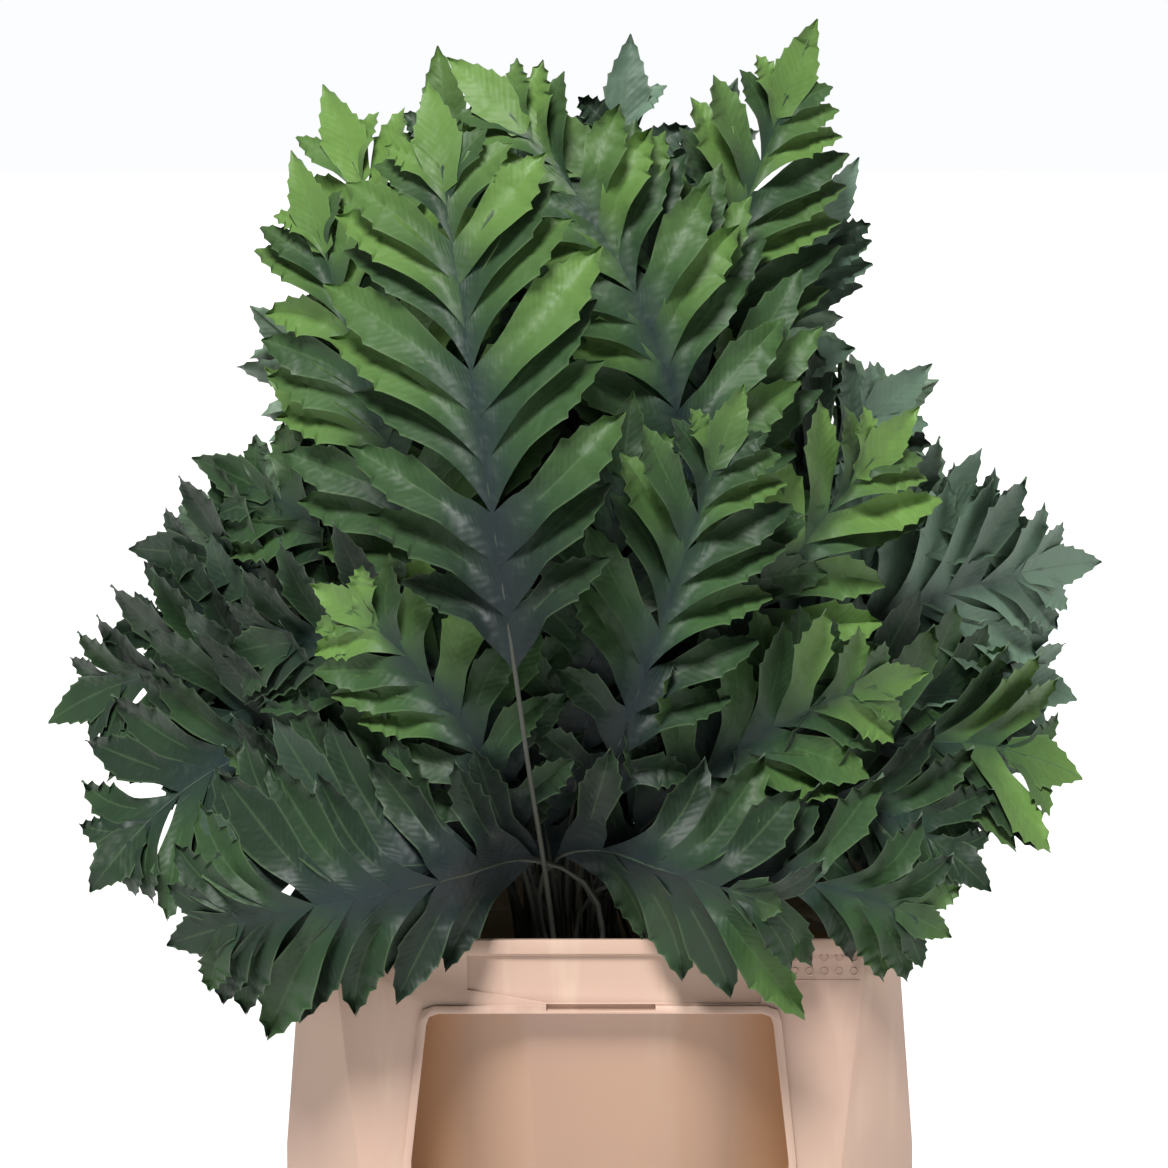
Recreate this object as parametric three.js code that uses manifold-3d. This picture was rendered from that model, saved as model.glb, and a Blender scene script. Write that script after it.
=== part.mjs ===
// Cut blue star fern fronds standing in water in a tall flower bucket.
// Millimetres, +Z up, the front faces -Y, the origin is the middle of the bucket's base.
import * as THREE from "three";
import Module from "manifold-3d";

const wasm = await Module();
wasm.setup();
const { Manifold, Mesh } = wasm;

// Sizes of the bucket
const RIM_HEIGHT = 290;
const SKIRT_BASE = { halfWidth: 160, halfDepth: 150, chamfer: 38, z: 0 };
const SKIRT_KNEE = { halfWidth: 160, halfDepth: 150, chamfer: 38, z: 179 };
const SKIRT_TOP = { halfWidth: 151, halfDepth: 141, chamfer: 16, z: RIM_HEIGHT };
const LIP = { halfWidth: 153, halfDepth: 143, chamfer: 17, bottom: 283 };
const WALL = 2.5;
const INNER_CHAMFER = 0.6;
const COLLAR_BOTTOM = 256;
const LEDGE = 3;
const MOUTH = { halfWidth: 147.5, halfDepth: 137.5, chamfer: 14 };
const WELL_TOP = { halfWidth: 143, halfDepth: 133, z: COLLAR_BOTTOM };
const WELL_FLOOR = { halfWidth: 118, halfDepth: 108, z: 4 };
const WELL_FACET = { top: 37, floor: 22, setback: 28 };
const WINDOW = { top: 253, bottom: 48, halfTop: 87.5, halfBottom: 95, corner: 6, flare: 179 };
const CORNER_MIDDLE = 0.25;
const FRAME_WIDTH = 4;
const FRAME_RAISE = 2;
const FRAME_TOP = 262;
const PANEL = { left: -67, right: 81, top: 282, bottomLeft: 265, bottomRight: 258, step: -27 };
const PANEL_DEPTH = 1.2;
const SLOT = { left: -27, right: 28, top: 257.5, bottom: 254.5 };

// How far joined bodies run into each other, and cutting bodies past what they cut
const JOIN = 4;
const BEYOND = 10;
const FAR = 400;

// Sizes of the water
const WATER_TOP = 94;
const GAP = 0.3;
const STEM_HOLE_GAP = 0.4;

// Sizes shared by the fronds
const NECK_X = -20;
const NECK_SPREAD = 30;
const NECK_HEIGHT = 25;
const FOOT_SPREAD = 58;
const FOOT_STAGGER = 14;
const SPREAD_REACH = 250;
const BEND_START = -175;
const RIB_PARTS = 24;
const STEM_RINGS = 5;
const STEM_HALF = 1.7;
const BLADE_HALF = 0.5;
const BAND_HALF_BASE = 6;
const BAND_HALF_END = 3.5;
const LOBE_SPACING = 21.5;
const LOBE_CROWDING = 0.2;
const LOBE_SHOULDER = 0.5;
const LOBE_ANGLE = { tip: 44, opening: 20, spread: 4 };
const LOBE_REACH = { widestAt: 0.4, footLoss: 0.25, tipLoss: 0.7, taper: 1.9, spread: 0.12 };
const MOST_LOBES = 40;
const TERMINAL = { share: 0.15, longest: 44, widestAt: 0.15, half: 13, halfShare: 0.21, point: 0.01 };
const CURL = { middle: 14, spread: 16, fullAt: 0.1 };
const ROLL_FULL_AT = 0.15;
const SHIFT_SPREAD = 5;
const STEEPEST = 2;

// Curved sheets that the fronds follow, with the stretches over which one shape turns into the next
const LAYER_DEPTH = { foot: 85, mouth: 115, edge: 48, bulge: 160 };
const WING = { curve: 400, middle: 0.65, tilt: 0.35, low: 20, high: 110 };
const FOLIAGE = { x: -8, height: 155, reach: 315 };
const HANG = { out: 28, from: 0.8, full: 0.88, low: 40, high: 75, near: 20, far: 50 };
const MOUTH_STRETCH = [BEND_START, -10];
const LEAF_STRETCH = [-140, -30];
const HANG_STRETCH = [-100, -60];
const NECK_STRETCH = [0, 110];

// Spacing that the search for clear places keeps
const CLEARANCE = 0.6;
const LAYER_STEP = 0.006;
const RELIEF_STEP = 0.05;
const WIDTH_STEP = 0.003;
const MOST_TRIES = 90;

// Even draws: the golden ratio, and the step that each kind of draw takes
const GOLDEN = 0.6180339887;
const DRAW = { fan: 1, lean: 3, reach: 5, lobe: 7, width: 11, bow: 13, roll: 17, shift: 19, curl: 23 };
const DEGREE = Math.PI / 180;

// Fronds of the front, foremost first. Each tip and each middle of a rib is across from the centre
// line and above the rim, and two that hang over the rim turn down at a neck of their own. Layer 1 is
// the front of the bunch and layer 0 its middle, and two of the fronds have a layer of their own.
const FRONT_FRONDS = [
  { tip: [-86, 430], middle: [-58, 255], blade: 290, halfWidth: 67, bow: 6, roll: 0 },
  { tip: [-217, 0], middle: [-104, 33], neck: [-26, 36], blade: 190, halfWidth: 66, bow: -4, roll: 0 },
  {
    tip: [90, 25], middle: [26, 42], neck: [-6, 44], blade: 114, halfWidth: 62, bow: 10, roll: 0,
    layer: 0.885,
  },
  { tip: [176, 4], middle: [90, 36], blade: 145, halfWidth: 46, bow: 8, roll: 0, layer: 0.848 },
  { tip: [-146, 178], middle: [-74, 120], blade: 168, halfWidth: 50, bow: 14, roll: -0.15 },
  { tip: [72, 280], middle: [30, 160], blade: 222, halfWidth: 54, bow: 16, roll: 0.15 },
  { tip: [170, 126], middle: [70, 96], blade: 200, halfWidth: 54, bow: 12, roll: -0.15 },
  { tip: [-192, 60], middle: [-94, 72], blade: 172, halfWidth: 54, bow: 14, roll: 0.15 },
  { tip: [200, 18], middle: [106, 68], blade: 192, halfWidth: 54, bow: 4, roll: 0.1 },
  { tip: [-46, 176], middle: [-34, 98], blade: 150, halfWidth: 44, bow: 6, roll: 0 },
  { tip: [-196, 132], middle: [-88, 132], blade: 186, halfWidth: 58, bow: 8, roll: 0.1 },
  { tip: [-78, 442], middle: [44, 232], blade: 356, halfWidth: 64, bow: 0, roll: 0.15 },
  { tip: [166, 262], middle: [68, 146], blade: 246, halfWidth: 60, bow: 10, roll: -0.15 },
  { tip: [-264, 12], middle: [-128, 88], blade: 224, halfWidth: 60, bow: 0, roll: 0.15 },
  { tip: [-160, 394], middle: [-102, 230], blade: 314, halfWidth: 58, bow: -8, roll: 0.15 },
  { tip: [256, 62], middle: [116, 84], blade: 226, halfWidth: 60, bow: 0, roll: -0.15 },
  { tip: [24, 190], middle: [2, 104], blade: 162, halfWidth: 46, bow: 4, roll: 0 },
  { tip: [92, 304], middle: [24, 186], blade: 240, halfWidth: 60, bow: 10, roll: 0.15 },
  { tip: [-301, 80], middle: [-142, 114], blade: 250, halfWidth: 60, bow: -8, roll: 0.1 },
  { tip: [-144, 428], middle: [-76, 238], blade: 330, halfWidth: 64, bow: 0, roll: -0.15 },
  { tip: [114, 462], middle: [42, 266], blade: 350, halfWidth: 60, bow: 10, roll: 0.15 },
  { tip: [277, 166], middle: [126, 140], blade: 258, halfWidth: 62, bow: -4, roll: -0.1 },
  { tip: [-216, 231], middle: [-104, 166], blade: 248, halfWidth: 60, bow: 8, roll: 0.15 },
  { tip: [-14, 236], middle: [-18, 126], blade: 204, halfWidth: 50, bow: 0, roll: 0 },
  { tip: [16, 454], middle: [2, 248], blade: 346, halfWidth: 64, bow: 0, roll: -0.15 },
  { tip: [214, 212], middle: [98, 158], blade: 252, halfWidth: 60, bow: 8, roll: 0.15 },
  { tip: [-254, 178], middle: [-124, 148], blade: 238, halfWidth: 58, bow: 0, roll: -0.1 },
  { tip: [-176, 280], middle: [-94, 188], blade: 290, halfWidth: 62, bow: 0, roll: 0.15 },
  { tip: [176, 281], middle: [86, 192], blade: 278, halfWidth: 62, bow: 0, roll: -0.15 },
  { tip: [-84, 448], middle: [-60, 250], blade: 340, halfWidth: 62, bow: 0, roll: 0.15 },
  { tip: [136, 390], middle: [60, 234], blade: 320, halfWidth: 54, bow: 12, roll: -0.1 },
  { tip: [262, 92], middle: [120, 110], blade: 232, halfWidth: 60, bow: 0, roll: 0.15 },
];
const FRONT_LAYER = 0.985;
const FRONT_LAYER_STEP = 0.0228;

// Rule for the fronds of the back, which fan out by the golden ratio
const BACK_FRONDS = 12;
const BACK_LAYER = -0.28;
const BACK_LAYER_STEP = 0.0635;
const BACK_FAN = 95;
const BACK_REACH = { up: 436, side: 250 };
const BACK_MIDDLE = { across: 0.44, up: 0.56, lift: 40 };
const BACK_LENGTH = { middle: 0.96, spread: 0.1 };
const BACK_BLADE = { up: 0.78, side: 0.86 };
const BACK_HALF_WIDTH = { middle: 60, spread: 8 };
const BACK_BOW = 24;
const BACK_ROLL = 0.4;

// Fronds of the two sides, which lean outwards between the front and the back ones
const SIDE_LAYERS = [0.84, 0.54, 0.26];
const SIDE_TIPS = [290, 352, 404];
const SIDE_DEPTH = { foot: 45, mouth: 24, reach: 150, rise: 240 };
const SIDE_CENTRE = -14;
const SIDE_MIDDLE = { across: 0.25, up: 0.55 };
const SIDE_BLADE = 0.8;
const SIDE_HALF_WIDTH = 46;
const SIDE_LEAN = 24;
const SIDE_ROLL = 0.2;
const SIDE_STEP = 5;

// Low fronds of the middle, which reach out over the two sides of the bucket
const LOW_FRONDS = [
  { tip: [-232, 62], middle: [-118, 68], blade: 196, halfWidth: 54, bow: 0, roll: 0.1, layer: 0.2 },
  { tip: [224, 54], middle: [104, 64], blade: 190, halfWidth: 54, bow: 0, roll: 0.1, layer: 0.08 },
  { tip: [-226, 118], middle: [-108, 96], blade: 200, halfWidth: 54, bow: 0, roll: 0.1, layer: -0.08 },
  { tip: [220, 112], middle: [100, 92], blade: 196, halfWidth: 54, bow: 0, roll: 0.1, layer: -0.2 },
];

// Finishes
const BUCKET_FINISH = { color: 0xc8aa96, roughness: 0.5, metalness: 0 };
const WATER_FINISH = { color: 0xb8c8c4, roughness: 0.1, metalness: 0 };
const FROND_FINISHES = [
  { color: 0x5f8a5a, roughness: 0.6, metalness: 0 },
  { color: 0x4f7d63, roughness: 0.6, metalness: 0 },
];

function mix(from, to, share) {
  return from + (to - from) * share;
}

function smooth(low, high, value) {
  const share = Math.min(1, Math.max(0, (value - low) / (high - low)));
  return share * share * (3 - 2 * share);
}

// An even draw between -0.5 and 0.5 that follows from the frond's number and a step.
function spread(number, step) {
  const value = (number + 1) * step * GOLDEN;
  return value - Math.floor(value) - 0.5;
}

// Solids from rings and outlines

function solidOf(vertices, triangles) {
  const mesh = new Mesh({
    numProp: 3,
    vertProperties: new Float32Array(vertices.flat()),
    triVerts: new Uint32Array(triangles.flat()),
  });
  return new Manifold(mesh);
}

// A closed body through convex rings, each counter-clockwise seen from above and higher than the last.
function loft(rings) {
  const count = rings[0].length;
  const triangles = [];
  for (let level = 0; level + 1 < rings.length; level += 1) {
    for (let i = 0; i < count; i += 1) {
      const next = (i + 1) % count;
      const low = level * count;
      const high = low + count;
      triangles.push([low + i, low + next, high + next], [low + i, high + next, high + i]);
    }
  }
  const last = (rings.length - 1) * count;
  for (let i = 1; i + 1 < count; i += 1) {
    triangles.push([0, i + 1, i], [last, last + i, last + i + 1]);
  }
  return solidOf(rings.flat(), triangles);
}

function chamferedRing({ halfWidth, halfDepth, chamfer }, z) {
  const w = halfWidth;
  const d = halfDepth;
  const innerW = w - chamfer;
  const innerD = d - chamfer;
  return [
    [innerW, -d, z], [w, -innerD, z], [w, innerD, z], [innerW, d, z],
    [-innerW, d, z], [-w, innerD, z], [-w, -innerD, z], [-innerW, -d, z],
  ];
}

// The well's section has a narrow flat on each side, with a long shallow facet to each corner.
function facetedRing(halfWidth, halfDepth, flat, z) {
  const cornerW = halfWidth - WELL_FACET.setback;
  const cornerD = halfDepth - WELL_FACET.setback;
  return [
    [flat, -halfDepth, z], [cornerW, -cornerD, z], [halfWidth, -flat, z],
    [halfWidth, flat, z], [cornerW, cornerD, z], [flat, halfDepth, z],
    [-flat, halfDepth, z], [-cornerW, cornerD, z], [-halfWidth, flat, z],
    [-halfWidth, -flat, z], [-cornerW, -cornerD, z], [-flat, -halfDepth, z],
  ];
}

// A body between two depths with a convex outline of [x, z] points, clockwise seen from the front.
function slab(outline, front, back) {
  const rings = [front, back].map((y) => outline.map(([x, z]) => [x, y, z]));
  return loft(rings);
}

function skirtBody(inset) {
  const rings = [SKIRT_BASE, SKIRT_KNEE, SKIRT_TOP].map((level) => chamferedRing({
    halfWidth: level.halfWidth - inset,
    halfDepth: level.halfDepth - inset,
    chamfer: level.chamfer - inset * INNER_CHAMFER,
  }, level.z));
  return loft(rings);
}

// The well narrows to its floor. Grown outwards it is the wall's outer side.
function wellBody(grow, floor, top) {
  const at = (z) => {
    const share = (z - WELL_FLOOR.z) / (WELL_TOP.z - WELL_FLOOR.z);
    return facetedRing(
      mix(WELL_FLOOR.halfWidth, WELL_TOP.halfWidth, share) + grow,
      mix(WELL_FLOOR.halfDepth, WELL_TOP.halfDepth, share) + grow,
      mix(WELL_FACET.floor, WELL_FACET.top, share),
      z,
    );
  };
  return loft([at(floor), at(top)]);
}

function windowOutline(grow) {
  const halfTop = WINDOW.halfTop + grow;
  const half = WINDOW.halfBottom + grow;
  const top = WINDOW.top + grow;
  const bottom = WINDOW.bottom - grow;
  const corner = WINDOW.corner + grow / 2;
  const right = [
    [halfTop - corner, top],
    [halfTop - corner * CORNER_MIDDLE, top - corner * CORNER_MIDDLE],
    [halfTop, top - corner],
    [half, WINDOW.flare], [half, bottom + corner], [half - corner, bottom],
  ];
  const left = right.map(([x, z]) => [-x, z]).reverse();
  return [...right, ...left];
}

// Bucket: a skirt with a window at the front and the back, a collar, and a faceted well inside
function bucketSolid() {
  const skirt = skirtBody(0);
  const lip = loft([LIP.bottom, RIM_HEIGHT].map((z) => chamferedRing(LIP, z)));
  const aboveFrames = loft([FRAME_TOP, RIM_HEIGHT + FAR].map((z) => chamferedRing(SKIRT_KNEE, z)));
  const frames = skirtBody(-FRAME_RAISE).intersect(slab(windowOutline(FRAME_WIDTH), -FAR, FAR))
    .subtract(aboveFrames);
  const belowCollar = loft([-BEYOND, COLLAR_BOTTOM + JOIN].map((z) => chamferedRing(SKIRT_BASE, z)));
  const openBase = loft([-BEYOND, JOIN].map((z) => chamferedRing({
    halfWidth: SKIRT_BASE.halfWidth - WALL,
    halfDepth: SKIRT_BASE.halfDepth - WALL,
    chamfer: SKIRT_BASE.chamfer - WALL * INNER_CHAMFER,
  }, z)));
  const hollow = skirtBody(WALL).intersect(belowCollar).add(openBase);
  const openings = slab(windowOutline(0), -FAR, FAR);
  const shell = skirt.add(lip).add(frames).subtract(hollow).subtract(openings);
  const panel = slab([
    [PANEL.left, PANEL.top], [PANEL.right, PANEL.top], [PANEL.right, PANEL.bottomRight],
    [PANEL.step, PANEL.bottomRight], [PANEL.left, PANEL.bottomLeft],
  ], -FAR, 0).subtract(skirtBody(PANEL_DEPTH));
  const slot = slab([
    [SLOT.left, SLOT.top], [SLOT.right, SLOT.top], [SLOT.right, SLOT.bottom], [SLOT.left, SLOT.bottom],
  ], -FAR, 0).subtract(skirtBody(PANEL_DEPTH * 2));
  const collar = skirt.intersect(loft([COLLAR_BOTTOM, RIM_HEIGHT].map((z) => (
    chamferedRing(SKIRT_KNEE, z)
  ))));
  const well = wellBody(WALL, 0, COLLAR_BOTTOM + JOIN);
  const inside = wellBody(0, WELL_FLOOR.z, COLLAR_BOTTOM + LEDGE + JOIN);
  const mouth = loft([COLLAR_BOTTOM + LEDGE, RIM_HEIGHT + BEYOND].map((z) => chamferedRing(MOUTH, z)));
  return shell.add(collar.subtract(panel)).subtract(panel).subtract(slot).add(well)
    .subtract(inside).subtract(mouth);
}

// Layers: every frond follows its own curved sheet from front to back, so that blades don't meet

function wingY(x, height) {
  const offset = x - FOLIAGE.x;
  return (offset * offset / WING.curve) * smooth(WING.low, WING.high, height);
}

function layerY(layer, x, height) {
  const stemDepth = mix(LAYER_DEPTH.foot, LAYER_DEPTH.mouth, smooth(...MOUTH_STRETCH, height));
  const fromNeck = Math.hypot(x - NECK_X, Math.max(0, height));
  const across = (x - FOLIAGE.x) / FOLIAGE.reach;
  const up = (height - FOLIAGE.height) / FOLIAGE.reach;
  const round = Math.sqrt(Math.max(0, 1 - across * across - up * up));
  const leafDepth = LAYER_DEPTH.edge + LAYER_DEPTH.bulge * round;
  const inLeaf = smooth(...NECK_STRETCH, fromNeck) * smooth(...LEAF_STRETCH, height);
  const depth = mix(stemDepth, leafDepth, inLeaf);
  const outer = smooth(HANG.from, HANG.full, Math.abs(layer));
  const low = 1 - smooth(HANG.low, HANG.high, height);
  const beside = smooth(HANG.near, HANG.far, Math.abs(x - NECK_X)) * smooth(...HANG_STRETCH, height);
  const sheet = wingY(x, height) * (WING.middle + WING.tilt * layer) - layer * depth;
  return sheet - Math.sign(layer) * HANG.out * outer * low * beside;
}

function sideX(layer, facing, height) {
  const stemDepth = mix(SIDE_DEPTH.foot, SIDE_DEPTH.mouth, smooth(...MOUTH_STRETCH, height));
  const leafDepth = SIDE_DEPTH.reach * smooth(0, SIDE_DEPTH.rise, height);
  return SIDE_CENTRE + facing * layer * (stemDepth + leafDepth);
}

// The point of a frond's sheet that lies across and up in the frond's own outline, moved out by lift.
function sheetPoint(frond, across, height, lift) {
  if (frond.facing === 0) {
    return [across, layerY(frond.layer, across, height) + lift];
  }
  const x = sideX(frond.layer, frond.facing, height);
  return [x + lift, wingY(x, height) * WING.middle - across];
}

// Ribs: a stem that stands straight in the water and then bends to the frond's middle and its tip

function unit([x, height]) {
  const length = Math.hypot(x, height);
  return [x / length, height / length];
}

function ribPath(frond) {
  const [tipX] = frond.tip;
  const neckX = frond.facing === 0 ? NECK_X : 0;
  const fan = Math.max(-1, Math.min(1, (tipX - neckX) / SPREAD_REACH));
  const [neckAcross, neckHeight] = frond.neck ?? [neckX + NECK_SPREAD * fan, NECK_HEIGHT];
  const footX = FOOT_SPREAD * fan + FOOT_STAGGER * spread(frond.number, DRAW.lean) + frond.shift;
  const points = [
    [footX, BEND_START],
    [neckAcross + frond.shift, neckHeight],
    frond.middle,
    frond.tip,
  ];
  const chords = [0, 1, 2].map((i) => [
    points[i + 1][0] - points[i][0],
    points[i + 1][1] - points[i][1],
  ]);
  const lengths = chords.map(([x, height]) => Math.hypot(x, height));
  const directions = chords.map(unit);
  const blend = (i) => unit([
    directions[i][0] * lengths[i + 1] + directions[i + 1][0] * lengths[i],
    directions[i][1] * lengths[i + 1] + directions[i + 1][1] * lengths[i],
  ]);
  const tangents = [[0, 1], blend(0), blend(1)];
  tangents.push(unit([
    2 * directions[2][0] - tangents[2][0],
    2 * directions[2][1] - tangents[2][1],
  ]));
  const samples = [[footX, WELL_FLOOR.z + GAP - RIM_HEIGHT]];
  for (let i = 0; i < 3; i += 1) {
    for (let k = i === 0 ? 0 : 1; k <= RIB_PARTS; k += 1) {
      const t = k / RIB_PARTS;
      const a = 2 * t * t * t - 3 * t * t + 1;
      const b = (t * t * t - 2 * t * t + t) * lengths[i];
      const c = 3 * t * t - 2 * t * t * t;
      const d = (t * t * t - t * t) * lengths[i];
      samples.push([0, 1].map((axis) => (
        a * points[i][axis] + b * tangents[i][axis] + c * points[i + 1][axis] + d * tangents[i + 1][axis]
      )));
    }
  }
  const along = [0];
  for (let i = 1; i < samples.length; i += 1) {
    const [x0, h0] = samples[i - 1];
    const [x1, h1] = samples[i];
    along.push(along[i - 1] + Math.hypot(x1 - x0, h1 - h0));
  }
  return { samples, along, length: along[along.length - 1], bendStart: along[1] };
}

// The place on the rib at a length from the foot, with the direction of the rib there.
function ribAt(path, length) {
  const { samples, along } = path;
  let i = 1;
  while (i < along.length - 1 && along[i] < length) {
    i += 1;
  }
  const share = (length - along[i - 1]) / (along[i] - along[i - 1]);
  const from = samples[i - 1];
  const to = samples[i];
  const place = [mix(from[0], to[0], share), mix(from[1], to[1], share)];
  const before = samples[Math.max(1, i - 2)];
  const after = samples[Math.min(samples.length - 1, i + 1)];
  const direction = i === 1 ? [0, 1] : unit([after[0] - before[0], after[1] - before[1]]);
  return { place, direction };
}

// Fronds: a square stem that flattens into a rib band, with pointed lobes cut almost to the rib

function lobeReach(share) {
  const { widestAt, footLoss, tipLoss, taper } = LOBE_REACH;
  if (share < widestAt) {
    const low = 1 - share / widestAt;
    return 1 - footLoss * low * low;
  }
  return 1 - tipLoss * Math.pow((share - widestAt) / (1 - widestAt), taper);
}

function frondMesh(frond, grow) {
  const path = ribPath(frond);
  const bladeStart = path.length - frond.blade;
  const terminal = Math.min(TERMINAL.longest, frond.blade * TERMINAL.share);
  const lobedEnd = path.length - terminal;
  const pairs = Math.round((lobedEnd - bladeStart) / LOBE_SPACING);
  const rootAt = (share) => (
    mix(bladeStart, lobedEnd, share + LOBE_CROWDING * share * (1 - share))
  );
  const outward = frond.facing === 0 ? -Math.sign(frond.layer) : frond.facing;
  const vertices = [];
  const triangles = [];

  // How far the blade stands off its sheet at a point along and across the rib.
  const reliefAt = (length, across) => {
    const share = Math.max(0, (length - bladeStart) / frond.blade);
    const side = across / frond.halfWidth;
    const lift = frond.bow * share * share - frond.curl * side * side * smooth(0, CURL.fullAt, share);
    const turn = frond.roll * across * smooth(0, ROLL_FULL_AT, share);
    return frond.relief * (outward * lift + turn);
  };

  // A front and a back corner at one point. Their distance keeps the blade's real thickness.
  const corner = (x, height, length, across, half) => {
    const [baseX, baseY] = sheetPoint(frond, x, height, 0);
    const [acrossX, acrossY] = sheetPoint(frond, x + 1, height, 0);
    const [upX, upY] = sheetPoint(frond, x, height + 1, 0);
    const axis = frond.facing === 0 ? 1 : 0;
    const slopeAcross = [acrossX - baseX, acrossY - baseY][axis];
    const slopeUp = [upX - baseX, upY - baseY][axis];
    const steep = Math.min(STEEPEST, Math.hypot(1, slopeAcross, slopeUp));
    const relief = reliefAt(length, across);
    [-1, 1].forEach((side) => {
      const lift = relief + side * (half + grow) * steep;
      vertices.push([...sheetPoint(frond, x, height, lift), height + RIM_HEIGHT]);
    });
    return vertices.length - 2;
  };
  const face = (a, b, c) => triangles.push([a, b, c], [c + 1, b + 1, a + 1]);
  const wall = (a, b) => triangles.push([a, a + 1, b + 1], [a, b + 1, b]);

  const ring = (length, halfAcross, halfThick) => {
    const { place, direction } = ribAt(path, length);
    const [alongX, alongH] = direction;
    return [-1, 1].map((side) => corner(
      place[0] + side * alongH * halfAcross,
      place[1] - side * alongX * halfAcross,
      length,
      side * halfAcross,
      halfThick,
    ));
  };

  // A point of a lobe, from the rib at a length, forward along the rib and out to one side.
  const lobePoint = (length, side, forward, out) => {
    const { place, direction } = ribAt(path, length);
    const [alongX, alongH] = direction;
    return corner(
      place[0] + alongX * forward + side * alongH * out,
      place[1] + alongH * forward - side * alongX * out,
      length + forward,
      side * out,
      BLADE_HALF,
    );
  };

  // Rings of the stem, closer together where it bends
  const rings = [ring(0, STEM_HALF + grow, STEM_HALF)];
  for (let i = 0; i < STEM_RINGS; i += 1) {
    const length = mix(path.bendStart, bladeStart, i / STEM_RINGS);
    rings.push(ring(length, STEM_HALF + grow, STEM_HALF));
  }
  wall(rings[0][0], rings[0][1]);
  for (let i = 0; i <= pairs; i += 1) {
    const share = i / pairs;
    const length = rootAt(share);
    const thick = i === 0 ? (STEM_HALF + BLADE_HALF) / 2 : BLADE_HALF;
    rings.push(ring(length, mix(BAND_HALF_BASE, BAND_HALF_END, share), thick));
  }
  for (let i = 0; i + 1 < rings.length; i += 1) {
    const [left, right] = rings[i];
    const [nextLeft, nextRight] = rings[i + 1];
    face(left, right, nextRight);
    face(left, nextRight, nextLeft);
  }
  for (let i = 0; i < STEM_RINGS + 1; i += 1) {
    wall(rings[i][1], rings[i + 1][1]);
    wall(rings[i + 1][0], rings[i][0]);
  }

  // Lobes, in pairs up to the leaf at the tip. Each leaves the rib steeply and arches outwards.
  for (let i = 0; i < pairs; i += 1) {
    const share = (i + 0.5) / pairs;
    const low = rings[STEM_RINGS + 1 + i];
    const high = rings[STEM_RINGS + 2 + i];
    [-1, 1].forEach((side) => {
      const draw = spread(frond.number * MOST_LOBES + i * 2 + (side + 1) / 2, DRAW.lobe);
      const opening = LOBE_ANGLE.opening * (1 - share) * (1 - share);
      const angle = (LOBE_ANGLE.tip + opening + LOBE_ANGLE.spread * draw) * DEGREE;
      const reach = frond.halfWidth * lobeReach(share) * (1 + LOBE_REACH.spread * draw);
      const forward = reach / Math.tan(angle);
      const b = lobePoint(rootAt((i + 1) / pairs), side, LOBE_SHOULDER * forward, LOBE_SHOULDER * reach);
      const c = lobePoint(rootAt(share), side, forward, reach);
      if (side > 0) {
        face(low[1], c, b);
        face(low[1], b, high[1]);
        wall(low[1], c);
        wall(c, b);
        wall(b, high[1]);
      } else {
        face(low[0], b, c);
        face(low[0], high[0], b);
        wall(high[0], b);
        wall(b, c);
        wall(c, low[0]);
      }
    });
  }

  // The leaf at the tip
  const last = rings[rings.length - 1];
  const leafHalf = Math.min(TERMINAL.half, frond.halfWidth * TERMINAL.halfShare);
  const widest = lobedEnd + terminal * TERMINAL.widestAt;
  const sides = [-1, 1].map((side) => lobePoint(widest, side, 0, leafHalf));
  const tip = lobePoint(path.length - TERMINAL.point, 1, 0, 0);
  const [left, right] = sides;
  face(last[0], last[1], right);
  face(last[0], right, left);
  wall(last[1], right);
  wall(left, last[0]);
  face(left, right, tip);
  wall(right, tip);
  wall(tip, left);
  return { vertices, triangles };
}

// List of the fronds: the front and the low ones by hand, the back and the sides by their rules

function backFrond(index) {
  const turn = spread(index, DRAW.fan) * 2 * BACK_FAN * DEGREE;
  const reach = 1 / Math.hypot(Math.cos(turn) / BACK_REACH.up, Math.sin(turn) / BACK_REACH.side);
  const length = reach * (BACK_LENGTH.middle + BACK_LENGTH.spread * spread(index, DRAW.reach));
  const tipX = NECK_X / 2 + length * Math.sin(turn);
  const tipHeight = NECK_HEIGHT + length * Math.cos(turn);
  const side = Math.abs(Math.sin(turn));
  return {
    tip: [tipX, tipHeight],
    middle: [
      mix(NECK_X, tipX, BACK_MIDDLE.across),
      mix(NECK_HEIGHT, tipHeight, BACK_MIDDLE.up) + BACK_MIDDLE.lift * side * side,
    ],
    blade: length * mix(BACK_BLADE.up, BACK_BLADE.side, side),
    halfWidth: BACK_HALF_WIDTH.middle + BACK_HALF_WIDTH.spread * spread(index, DRAW.width),
    bow: BACK_BOW * spread(index, DRAW.bow),
    roll: BACK_ROLL * spread(index, DRAW.roll),
  };
}

function sideFrond(index, facing) {
  const tipHeight = SIDE_TIPS[index];
  const lean = SIDE_LEAN * spread(index + SIDE_STEP * facing, DRAW.lean);
  return {
    tip: [lean, tipHeight],
    middle: [lean * SIDE_MIDDLE.across, tipHeight * SIDE_MIDDLE.up],
    blade: tipHeight * SIDE_BLADE,
    halfWidth: SIDE_HALF_WIDTH,
    bow: 0,
    roll: SIDE_ROLL * spread(index, DRAW.roll),
    layer: SIDE_LAYERS[index],
    facing,
  };
}

const plans = [
  ...FRONT_FRONDS.map((frond, index) => ({
    layer: FRONT_LAYER - FRONT_LAYER_STEP * index,
    facing: 0,
    ...frond,
  })),
  ...Array.from({ length: BACK_FRONDS }, (_, index) => ({
    ...backFrond(index),
    layer: BACK_LAYER - BACK_LAYER_STEP * index,
    facing: 0,
  })),
  ...SIDE_LAYERS.flatMap((_, index) => [sideFrond(index, -1), sideFrond(index, 1)]),
  ...LOW_FRONDS.map((frond) => ({ ...frond, facing: 0 })),
];

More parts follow.
